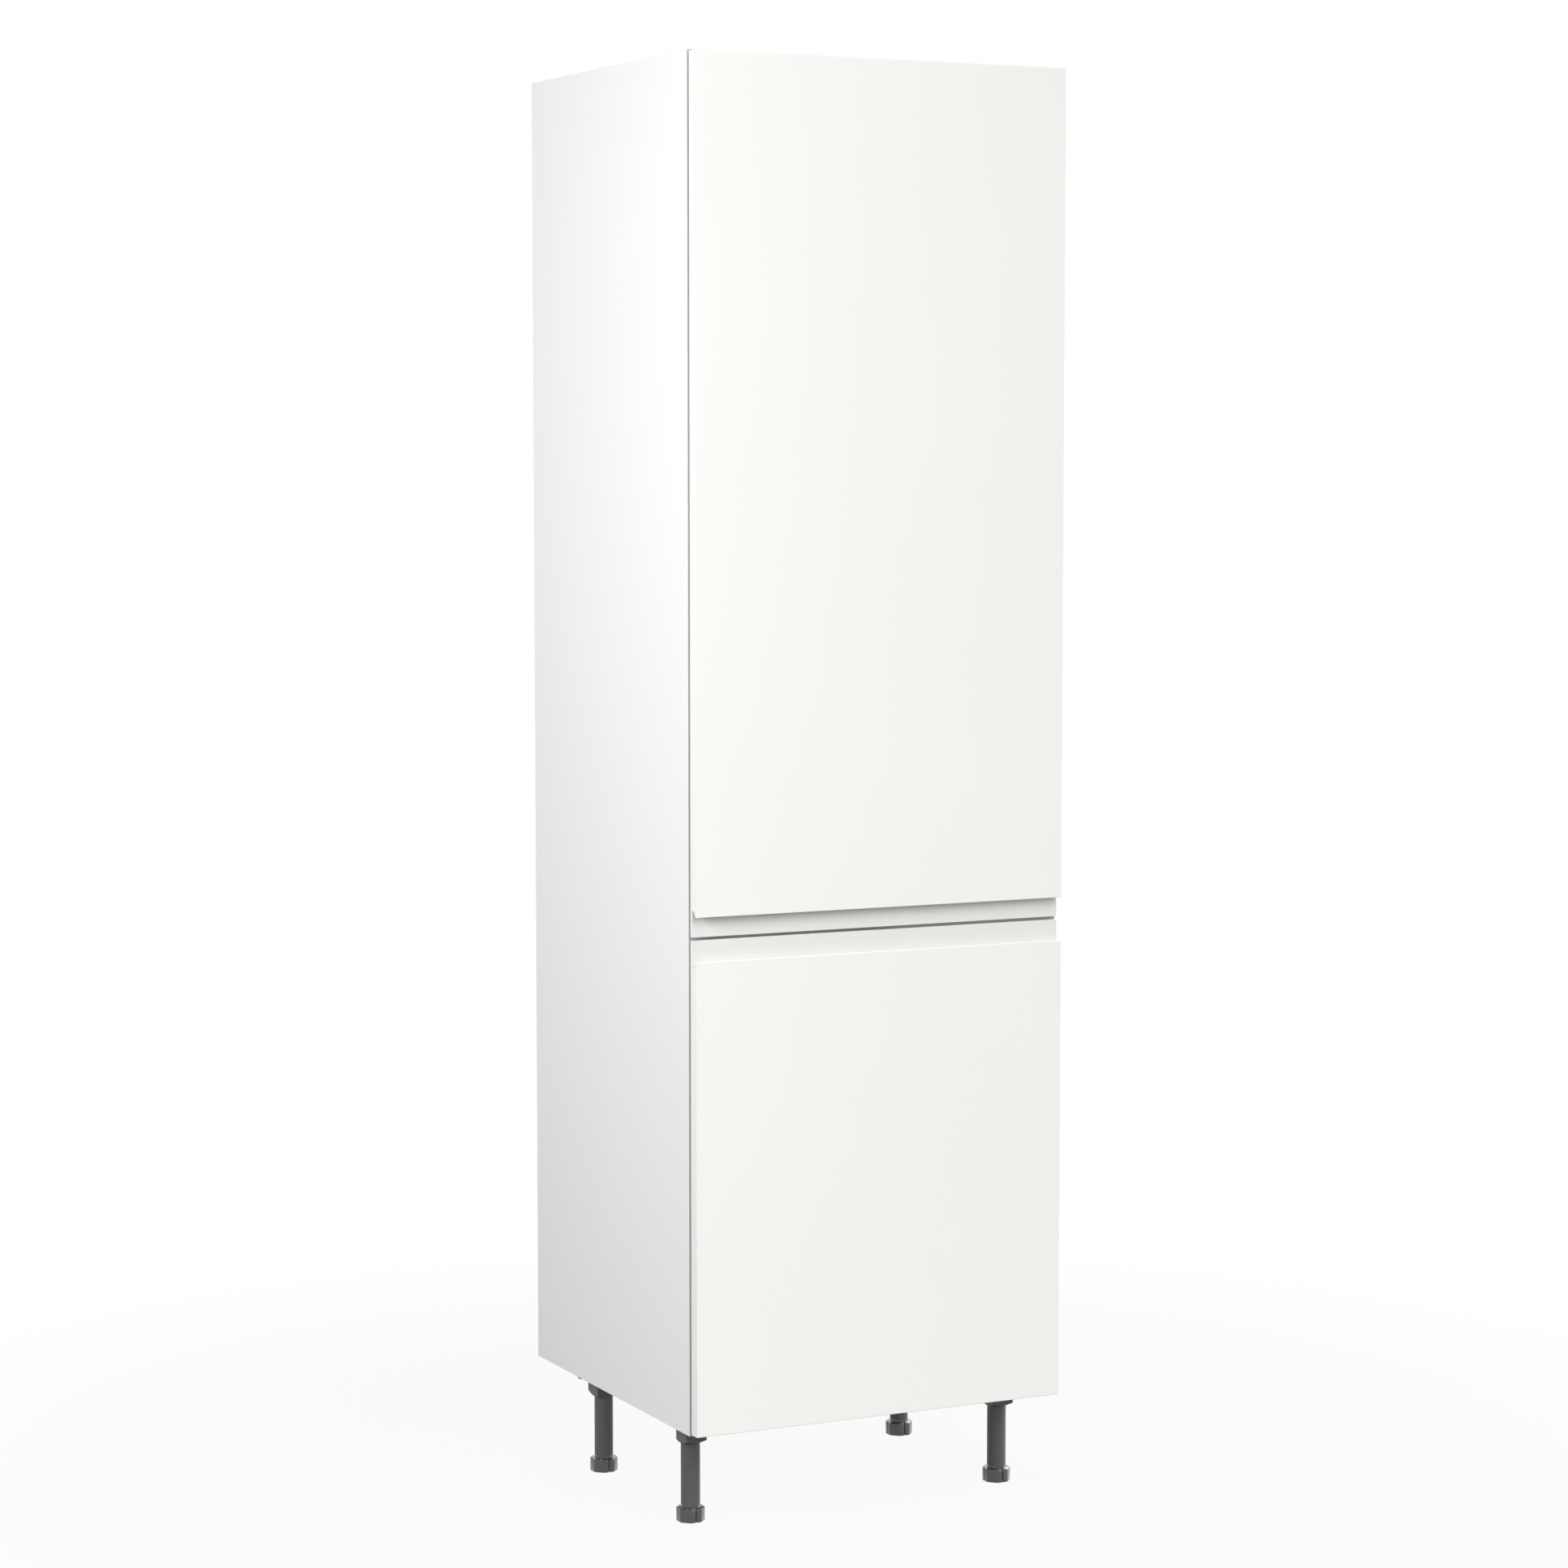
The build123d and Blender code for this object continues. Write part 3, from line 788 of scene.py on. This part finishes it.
def dome_shape(way: Place, size: Place, place: Place, steps: tuple[int, int]) -> Shape:
    """Half ball, closed on its flat side.

    Args:
        way: Where the dome looks.
        size: Its half lengths along the three axes.
        place: The middle of its flat side.
        steps: Steps round and along the whole ball.

    Returns:
        The bmesh.
    """
    shape = bmesh.new()
    bmesh.ops.create_uvsphere(shape, u_segments=steps[0], v_segments=steps[1], radius=1.0)
    bmesh.ops.bisect_plane(
        shape,
        geom=[*shape.verts, *shape.edges, *shape.faces],
        plane_co=(0, 0, 0),
        plane_no=-Vector(way),
        clear_outer=True,
    )
    bmesh.ops.edgeloop_fill(shape, edges=[e for e in shape.edges if e.is_boundary])
    bmesh.ops.scale(shape, vec=size, verts=shape.verts[:])
    bmesh.ops.translate(shape, vec=place, verts=shape.verts[:])
    return shape


def join_shape(target: Shape, extra: Shape) -> None:
    """Add one bmesh to another and free it.

    Args:
        target: The bmesh that grows.
        extra: The bmesh that is added.
    """
    spare = bpy.data.meshes.new("spare")
    extra.to_mesh(spare)
    extra.free()
    target.from_mesh(spare)
    bpy.data.meshes.remove(spare)


@dataclass(frozen=True)
class CrossScrew:
    """Screw with a domed head and a cross recess; it stands on Z with its head upwards."""

    radius: float
    head_radius: float
    head_height: float
    length: float
    recess_width: float = 0.0009
    recess_share: float = 0.58
    recess_depth: float = 0.0008
    recess_taper: float = 0.8
    flat_from: float = 0.99
    head_segments: int = 28
    head_taper: float = 0.86
    dome_share: float = 0.3
    dome_steps: int = 3
    shank_segments: int = 16
    tip_share: float = 0.5
    first_spin: float = 17.0
    spin_step: float = 49.0

    def shape(self) -> Shape:
        """Build the screw with its head's underside at the origin.

        Returns:
            The bmesh.
        """
        shape = bmesh.new()
        head = (self.head_radius, self.head_radius * self.head_taper)
        add_cone(shape, 0.0, self.head_height, head, self.head_segments)
        rim = [e for e in shape.edges if all(v.co.z > self.head_height * MOST for v in e.verts)]
        bevel_edges(shape, rim, self.head_height * self.dome_share, self.dome_steps)
        self._cut_recess(shape)
        shank = (self.radius * self.tip_share, self.radius)
        add_cone(shape, -self.length, self.length, shank, self.shank_segments)
        return shape

    def _cut_recess(self, shape: Shape) -> None:
        """Press the cross recess into the head.

        Args:
            shape: The head's bmesh.
        """
        half = self.recess_width / 2
        reach = self.head_radius * self.recess_share
        arms = mark_cross(shape, half, reach, self.head_height * self.flat_from)
        pressed = [face for face, along in arms if along < reach]
        grown = bmesh.ops.extrude_face_region(shape, geom=pressed)["geom"]
        bmesh.ops.delete(shape, geom=pressed, context="FACES_ONLY")
        sunk = [v for v in grown if isinstance(v, bmesh.types.BMVert)]
        bmesh.ops.translate(shape, vec=(0, 0, -self.recess_depth), verts=sunk)
        bmesh.ops.scale(shape, vec=(self.recess_taper, self.recess_taper, 1.0), verts=sunk)

    def placed(self, places: Iterable[Place], way: Way) -> Shape:
        """Repeat the screw.

        Args:
            places: Where the undersides of the heads are.
            way: Which way the heads look.

        Returns:
            One bmesh with all the screws.
        """
        turn, axis = way.value
        whole = bmesh.new()
        for number, place in enumerate(places):
            one = self.shape()
            angle = math.radians(self.first_spin + self.spin_step * number)
            stand = Matrix.Translation(place) @ Matrix.Rotation(turn, 4, axis)
            spun = stand @ Matrix.Rotation(angle, 4, "Z")
            bmesh.ops.transform(one, matrix=spun, verts=one.verts[:])
            join_shape(whole, one)
        return whole


@dataclass
class Carcass:
    """Boards and their front edge bands, the bands coloured grey as painted shade of the gap behind
    the doors.
    """

    half_width: float = 0.3
    board: float = 0.018
    front: float = -0.2715
    bottom: float = 0.15
    top: float = 2.12
    shelf_bottom: float = 1.948
    band: float = 0.0008
    band_proud: float = 0.0001
    band_inset: float = 0.0001
    band_round: float = 0.0003
    boards: tuple[str, ...] = (
        "left_side_panel",
        "right_side_panel",
        "base_panel",
        "appliance_shelf",
        "top_panel",
        "bottom_back_rail",
        "middle_back_rail",
        "top_back_rail",
    )

    def build(self, workshop: Workshop) -> None:
        """Dress the boards and dowels, and add the edge bands.

        Args:
            workshop: Where the pieces are made.
        """
        for node in self.boards:
            workshop.palette.dress(node, Slot.BOARD)
        workshop.palette.dress("dowels", Slot.DOWEL)
        inner = self.half_width - self.board
        inset = self.band_inset
        upright = (self.bottom, self.top)
        strips = {
            "left_side_front_band": ((-self.half_width, -inner), upright),
            "right_side_front_band": ((inner, self.half_width), upright),
        }
        lying = {"base": self.bottom, "shelf": self.shelf_bottom, "top": self.top - self.board}
        for name, low in lying.items():
            strips[f"{name}_front_band"] = ((-inner, inner), (low, low + self.board))
        for name, (across, height) in strips.items():
            shape = box_shape(
                (across[0] + inset, self.front - self.band_proud, height[0] + inset),
                (across[1] - inset, self.front + self.band, height[1] - inset),
                self.band_round,
            )
            # Painted shade: the bands take the grey finish that stands for the shade in the gap
            # behind the doors
            workshop.piece(name, shape, Slot.BOARD, "carcass", look=Look.EDGING_PAINTED_SHADE)


@dataclass
class Doors:
    """Both doors with their bumpers."""

    back: float = -0.2735
    bumper_x: float = -0.291
    bumper_radius: float = 0.004
    bumper_height: float = 0.0018
    bumper_inset: float = 0.015
    bumper_steps: tuple[int, int] = (24, 16)
    bumper_smooth_under: float = 60.0
    ends: dict[str, Pair] = field(
        default_factory=lambda: {"upper": (0.8725, 2.1175), "lower": (0.1525, 0.8675)}
    )

    def build(self, workshop: Workshop) -> None:
        """Dress the doors and make their bumpers.

        Args:
            workshop: Where the pieces are made.
        """
        size = (self.bumper_radius, self.bumper_height, self.bumper_radius)
        for name, (low, high) in self.ends.items():
            workshop.palette.dress(f"{name}_door", Slot.DOOR)
            pads = bmesh.new()
            for height in (low + self.bumper_inset, high - self.bumper_inset):
                place = (self.bumper_x, self.back, height)
                join_shape(pads, dome_shape((0, 1, 0), size, place, self.bumper_steps))
            workshop.piece(
                f"{name}_door_bumper_pads",
                pads,
                Slot.BUMPER,
                f"{name}_door",
                (f"{name}_door_bumpers",),
                self.bumper_smooth_under,
            )


@dataclass
class Leg:
    """One leg: socket and tube from the frame, and a foot with its threaded stem."""

    name: str
    x: float
    y: float
    sides: int = 8
    across: float = 0.0402
    height: float = 0.0200
    neck_radius: float = 0.0142
    neck_top: float = 0.0246
    neck_sink: float = 0.001
    neck_segments: int = 64
    slot_width: float = 0.0016
    slot_depth: float = 0.0026
    corner_round: float = 0.003
    corner_steps: int = 3
    rim_round: float = 0.0006
    rim_inset: float = 0.0039
    sharp_from: float = 1.0
    root_radius: float = 0.0073
    crest_radius: float = 0.0079
    pitch: float = 0.003
    flanks: tuple[float, float, float] = (0.32, 0.48, 0.8)
    thread_bite: float = 0.0003
    thread_margin: float = 0.001
    stem_top: float = 0.0866
    stem_sink: float = 0.004
    steps_per_turn: int = 24

    def build(self, workshop: Workshop) -> None:
        """Dress the socket and tube, and make the foot.

        Args:
            workshop: Where the pieces are made.
        """
        for part in ("socket", "tube"):
            workshop.palette.dress(f"{self.name}_leg_{part}", Slot.PLASTIC)
        foot = self._collar()
        join_shape(foot, self._stem())
        bmesh.ops.translate(foot, vec=(self.x, self.y, 0), verts=foot.verts[:])
        workshop.piece(
            f"{self.name}_screw_foot",
            foot,
            Slot.PLASTIC,
            f"{self.name}_foot",
            (f"{self.name}_foot",),
            look=Look.FOOT,
        )

    def _collar(self) -> Shape:
        """Eight-sided collar with four slots and round corners, and the neck over it.

        Returns:
            The bmesh.
        """
        shape = bmesh.new()
        half_turn = math.pi / self.sides
        corner = self.across / 2 / math.cos(half_turn)
        bmesh.ops.create_circle(shape, cap_ends=True, segments=self.sides, radius=corner)
        turn = Matrix.Rotation(half_turn, 3, "Z")
        bmesh.ops.rotate(shape, cent=(0, 0, 0), matrix=turn, verts=shape.verts[:])
        grown = bmesh.ops.extrude_face_region(shape, geom=shape.faces[:])["geom"]
        lifted = [v for v in grown if isinstance(v, bmesh.types.BMVert)]
        bmesh.ops.translate(shape, vec=(0, 0, self.height), verts=lifted)
        uprights = [
            e for e in shape.edges if abs(e.verts[0].co.z - e.verts[1].co.z) > self.height / 2
        ]
        bevel_edges(shape, uprights, self.corner_round, self.corner_steps)
        self._cut_slots(shape)
        bmesh.ops.recalc_face_normals(shape, faces=shape.faces[:])
        reach = self.across / 2 - self.rim_inset
        rims = [
            e
            for e in shape.edges
            if abs(e.verts[0].co.z - e.verts[1].co.z) < TINY
            and len(e.link_faces) == 2
            and e.calc_face_angle(0.0) > self.sharp_from
            and max(e.verts[0].co.xy.length, e.verts[1].co.xy.length) > reach
        ]
        bevel_edges(shape, rims, self.rim_round)
        neck = self.height - self.neck_sink
        radii = (self.neck_radius, self.neck_radius)
        add_cone(shape, neck, self.neck_top - neck, radii, self.neck_segments)
        return shape

    def _cut_slots(self, shape: Shape) -> None:
        """Cut a slot into each side that looks along X or Y, open at top and bottom.

        Args:
            shape: The collar, still a plain prism.
        """
        reach = self.across / 2 - self.slot_depth
        arms = mark_cross(shape, self.slot_width / 2, reach)
        cut = [face for face, along in arms if along > reach]
        bmesh.ops.delete(shape, geom=cut, context="FACES")
        mouths = [
            e
            for e in shape.edges
            if e.is_boundary and all(v.co.z > self.height * MOST for v in e.verts)
        ]
        grown = bmesh.ops.extrude_edge_only(shape, edges=mouths)["geom"]
        dropped = [v for v in grown if isinstance(v, bmesh.types.BMVert)]
        bmesh.ops.translate(shape, vec=(0, 0, -self.height), verts=dropped)
        bmesh.ops.remove_doubles(shape, verts=shape.verts[:], dist=TINY)

    def _stem(self) -> Shape:
        """Stem with a helical thread round it.

        Returns:
            The bmesh.
        """
        shape = bmesh.new()
        length = self.stem_top - self.neck_top
        radii = (self.root_radius, self.root_radius)
        bottom = self.neck_top - self.stem_sink
        add_cone(shape, bottom, self.stem_top - bottom, radii, self.steps_per_turn)
        thread = bmesh.new()
        low = self.neck_top + self.thread_margin
        turns = (length - 2 * self.thread_margin - self.pitch) / self.pitch
        rise, crest, fall = (self.pitch * share for share in self.flanks)
        outline = [
            (self.root_radius - self.thread_bite, 0.0),
            (self.crest_radius, rise),
            (self.crest_radius, crest),
            (self.root_radius - self.thread_bite, fall),
        ]
        corners = [thread.verts.new((r, 0, low + z)) for r, z in outline]
        section = thread.faces.new(corners)
        bmesh.ops.spin(
            thread,
            geom=[section, *section.edges, *section.verts],
            cent=(0, 0, 0),
            axis=(0, 0, 1),
            dvec=(0, 0, self.pitch / self.steps_per_turn),
            angle=turns * 2 * math.pi,
            steps=int(turns * self.steps_per_turn),
            use_merge=False,
            use_duplicate=False,
        )
        join_shape(shape, thread)
        return shape


@dataclass
class Hinges:
    """Concealed hinges: dressed linkage, adjusting screws and rivet heads."""

    heights: dict[str, float] = field(
        default_factory=lambda: {
            "upper_bottom_hinge": 0.9725,
            "upper_middle_hinge": 1.495,
            "upper_top_hinge": 2.0175,
            "lower_bottom_hinge": 0.2525,
            "lower_top_hinge": 0.7675,
        }
    )
    board_face: float = 0.282
    front: float = -0.2715
    arm_height: float = 0.0125
    rear_pin: Pair = (0.0205, 0.0213)
    rear_pin_half: float = 0.0065
    rivet_size: Place = (0.0021, 0.0021, 0.0007)
    rivet_steps: tuple[int, int] = (20, 12)
    adjuster_back: float = 0.0405
    adjuster: CrossScrew = CrossScrew(
        radius=0.0015, head_radius=0.0027, head_height=0.0009, length=0.004
    )

    def build(self, workshop: Workshop) -> None:
        """Dress the hinges and add their small parts.

        Args:
            workshop: Where the pieces are made.
        """
        for hinge, height in self.heights.items():
            for part in ("plate", "arm", "outer_link", "inner_link", "cup"):
                workshop.palette.dress(f"{hinge}_{part}", Slot.HINGE)
            workshop.piece(f"{hinge}_rivet_heads", self._rivets(height), Slot.PIN, "carcass")
        for pins in ("hinge_arm_pins", "upper_door_cup_pins", "lower_door_cup_pins"):
            workshop.palette.dress(pins, Slot.PIN)
        x, y = self.board_face - self.arm_height, self.front + self.adjuster_back
        places = [(x, y, height) for height in self.heights.values()]
        adjusters = self.adjuster.placed(places, Way.INWARDS)
        workshop.piece("hinge_side_adjusters", adjusters, Slot.SCREW, "carcass")

    def _rivets(self, height: float) -> Shape:
        """Domed heads on both ends of a hinge's rear pin.

        Args:
            height: The hinge's height above the floor.

        Returns:
            The bmesh.
        """
        whole = bmesh.new()
        for side in (-1, 1):
            place = (
                self.board_face - self.rear_pin[0],
                self.front + self.rear_pin[1],
                height + side * self.rear_pin_half,
            )
            dome = dome_shape((0, 0, side), self.rivet_size, place, self.rivet_steps)
            join_shape(whole, dome)
        return whole


@dataclass
class Fasteners:
    """Screws of the leg sockets, hinge plates, arms and cups, with their drive recesses."""

    hinges: Hinges
    legs: Sequence[Leg]
    socket_ears: tuple[Pair, ...] = ((-0.022, 0.026), (0.022, 0.026), (0.0, -0.027))
    ear_bottom: float = 0.14
    door_back: float = -0.2735
    plate_thickness: float = 0.0022
    plate_screw_back: float = 0.037
    plate_screw_half: float = 0.016
    arm_screw_back: float = 0.053
    cup_screw_in: float = 0.0145
    cup_flange: float = 0.001
    cup_screw_half: float = 0.0225
    large_screw: CrossScrew = CrossScrew(
        radius=0.002, head_radius=0.0036, head_height=0.0015, length=0.012
    )
    cup_screw: CrossScrew = CrossScrew(
        radius=0.0016, head_radius=0.0036, head_height=0.0015, length=0.01
    )

    def build(self, workshop: Workshop) -> None:
        """Make all the screws but the hinges' adjusters.

        Args:
            workshop: Where the pieces are made.
        """
        heights = self.hinges.heights
        face, front = self.hinges.board_face, self.hinges.front
        plates = self._pairs(
            face - self.plate_thickness,
            front + self.plate_screw_back,
            heights.values(),
            self.plate_screw_half,
        )
        arms = [
            (face - self.hinges.arm_height, front + self.arm_screw_back, height)
            for height in heights.values()
        ]
        for name, places, way, node in (
            ("leg_socket_screws", self._ears(), Way.DOWN, "leg_screws"),
            ("mounting_plate_screws", plates, Way.INWARDS, "hinge_plate_screws"),
            ("arm_fixing_screws", arms, Way.INWARDS, "hinge_arm_screws"),
        ):
            screws = self.large_screw.placed(places, way)
            workshop.piece(name, screws, Slot.SCREW, "carcass", (node,))
        for door in ("upper", "lower"):
            cups = self._pairs(
                face - self.cup_screw_in,
                self.door_back + self.cup_flange,
                [height for hinge, height in heights.items() if hinge.startswith(door)],
                self.cup_screw_half,
            )
            workshop.piece(
                f"{door}_cup_fixing_screws",
                self.cup_screw.placed(cups, Way.BACK),
                Slot.SCREW,
                f"{door}_door",
                (f"{door}_door_cup_screws",),
            )

    def _ears(self) -> list[Place]:
        """Where the leg sockets are screwed to the base panel.

        Returns:
            The undersides of the screws' heads.
        """
        places = []
        for leg in self.legs:
            outward = 1 if leg.y > 0 else -1
            for ear_x, ear_y in self.socket_ears:
                places.append((leg.x + ear_x, leg.y + outward * ear_y, self.ear_bottom))
        return places

    @staticmethod
    def _pairs(x: float, y: float, heights: Iterable[float], half: float) -> list[Place]:
        """Places under and over the middle of every hinge.

        Args:
            x: Their place across.
            y: Their place from front to back.
            heights: The hinges' heights above the floor.
            half: Half the distance of a pair.

        Returns:
            The places, two for each hinge.
        """
        return [(x, y, height + side * half) for height in heights for side in (-1, 1)]


@dataclass(frozen=True)
class Softbox:
    """Square soft lamp: where it stands, the point it faces, its side and its power in watts."""

    name: str
    place: Place
    target: Place
    size: float
    power: float


@dataclass
class Studio:
    """Camera, plain floor, soft lamps and world."""

    camera_place: Place = (-2.6075, -5.2765, 1.5534)
    yaw: float = 26.161
    pitch: float = 4.797
    focal_pixels: float = 4808.7
    image_pixels: float = 1932.0
    ambient: float = 0.225
    softboxes: tuple[Softbox, ...] = (
        Softbox("left_softbox", (-2.52, -1.01, 1.99), (0.0, 0.0, 1.1), size=1.0, power=57.5),
        Softbox("right_softbox", (3.6, -0.4, 0.9), (0.0, 0.0, 0.6), size=2.0, power=56.0),
        Softbox("back_softbox", (3.4, 3.4, 3.0), (0.0, 0.2, 1.0), size=2.6, power=45.0),
    )
    front_strength: float = 2.06
    front_elevation: float = 35.0
    front_turn: float = 15.0
    front_spread: float = 50.0
    floor_size: float = 4.0
    floor_shade: float = 0.35
    shadow_radius: float = 0.8
    fade_radius: float = 1.9
    shadow_share: float = 0.06

    def build(self) -> None:
        """Set the whole studio up."""
        self._camera()
        self._world()
        self._floor()
        self._front_light()
        for box in self.softboxes:
            self._soft_light(box)
        bpy.context.scene.view_settings.view_transform = "Standard"

    def _camera(self) -> None:
        """Put the camera where the photograph was taken from."""
        data = bpy.data.cameras.new("camera")
        data.sensor_width = 36.0
        data.sensor_fit = "HORIZONTAL"
        data.lens = self.focal_pixels / self.image_pixels * data.sensor_width
        data.clip_end = 200.0
        camera = new_object("camera", data)
        camera.location = self.camera_place
        camera.rotation_euler = (math.radians(90.0 - self.pitch), 0.0, -math.radians(self.yaw))
        bpy.context.scene.camera = camera

    def _world(self) -> None:
        """White where the camera, gloss or glass looks at it, and a soft grey light elsewhere."""
        world = bpy.data.worlds.new("studio_world")
        bpy.context.scene.world = world
        world.use_nodes = True
        nodes, links = world.node_tree.nodes, world.node_tree.links
        nodes.clear()
        seen = nodes.new("ShaderNodeBackground")
        seen.inputs["Color"].default_value = WHITE
        light = nodes.new("ShaderNodeBackground")
        light.inputs["Color"].default_value = WHITE
        light.inputs["Strength"].default_value = self.ambient
        mix = nodes.new("ShaderNodeMixShader")
        links.new(self._looked_at(world.node_tree), mix.inputs["Fac"])
        links.new(light.outputs[0], mix.inputs[1])
        links.new(seen.outputs[0], mix.inputs[2])
        end = nodes.new("ShaderNodeOutputWorld")
        links.new(mix.outputs[0], end.inputs["Surface"])

    def _looked_at(self, tree: Tree) -> Socket:
        """Whether the camera, gloss or glass looks at the surface.

        Args:
            tree: The node tree.

        Returns:
            A value that is 1 for such a ray.
        """
        path = tree.nodes.new("ShaderNodeLightPath")
        found = path.outputs["Is Camera Ray"]
        for ray in ("Is Glossy Ray", "Is Transmission Ray"):
            found = math_node(tree, "MAXIMUM", found, path.outputs[ray])
        return found

    def _floor(self) -> None:
        """Plain pale floor that keeps a faint shadow."""
        shape = bmesh.new()
        bmesh.ops.create_grid(shape, x_segments=1, y_segments=1, size=self.floor_size / 2)
        mesh = bpy.data.meshes.new("studio_floor")
        shape.to_mesh(mesh)
        shape.free()
        floor = new_object("studio_floor", mesh)
        material = bpy.data.materials.new("pale_floor")
        material.use_nodes = True
        nodes, links = material.node_tree.nodes, material.node_tree.links
        nodes.clear()
        matt = nodes.new("ShaderNodeBsdfDiffuse")
        matt.inputs["Color"].default_value = (self.floor_shade,) * 3 + (1.0,)
        white = nodes.new("ShaderNodeEmission")
        place = nodes.new("ShaderNodeTexCoord")
        away = nodes.new("ShaderNodeVectorMath")
        away.operation = "LENGTH"
        links.new(place.outputs["Object"], away.inputs[0])
        fade = nodes.new("ShaderNodeMapRange")
        fade.interpolation_type = "SMOOTHSTEP"
        fade.inputs["From Min"].default_value = self.shadow_radius
        fade.inputs["From Max"].default_value = self.fade_radius
        fade.inputs["To Min"].default_value = 1.0 - self.shadow_share
        links.new(away.outputs["Value"], fade.inputs["Value"])
        looked_at = self._looked_at(material.node_tree)
        share = math_node(material.node_tree, "MULTIPLY", looked_at, fade.outputs["Result"])
        mix = nodes.new("ShaderNodeMixShader")
        links.new(share, mix.inputs["Fac"])
        links.new(matt.outputs[0], mix.inputs[1])
        links.new(white.outputs[0], mix.inputs[2])
        end = nodes.new("ShaderNodeOutputMaterial")
        links.new(mix.outputs[0], end.inputs["Surface"])
        mesh.materials.append(material)

    def _front_light(self) -> None:
        """Broad even light from above in front, a little to the right."""
        data = bpy.data.lights.new("front_light", "SUN")
        data.energy = self.front_strength
        data.angle = math.radians(self.front_spread)
        tilt = math.radians(90.0 - self.front_elevation)
        lamp = new_object("front_light", data)
        lamp.rotation_euler = (tilt, 0.0, math.radians(self.front_turn))

    def _soft_light(self, box: Softbox) -> None:
        """Set up one of the soft lamps.

        Args:
            box: The lamp.
        """
        data = bpy.data.lights.new(box.name, "AREA")
        data.shape = "SQUARE"
        data.size = box.size
        data.energy = box.power
        lamp = new_object(box.name, data)
        lamp.location = box.place
        aim = Vector(box.target) - Vector(box.place)
        lamp.rotation_euler = aim.to_track_quat("-Z", "Y").to_euler()


def main() -> None:
    """Build the sub-assemblies in order, and the studio round them."""
    logging.basicConfig(level=logging.INFO, format="%(name)s: %(message)s")
    workshop = Workshop(Palette())
    legs = [
        Leg(f"{end}_{side}", x, y)
        for end, y in (("front", -0.1793), ("back", 0.1383))
        for side, x in (("left", -0.2564), ("right", 0.2564))
    ]
    hinges = Hinges()
    for assembly in (Carcass(), Doors(), *legs, hinges, Fasteners(hinges, legs)):
        assembly.build(workshop)
    LOG.info("%d pieces made", len(workshop.made))
    Studio().build()


if __name__ == "__main__":
    main()
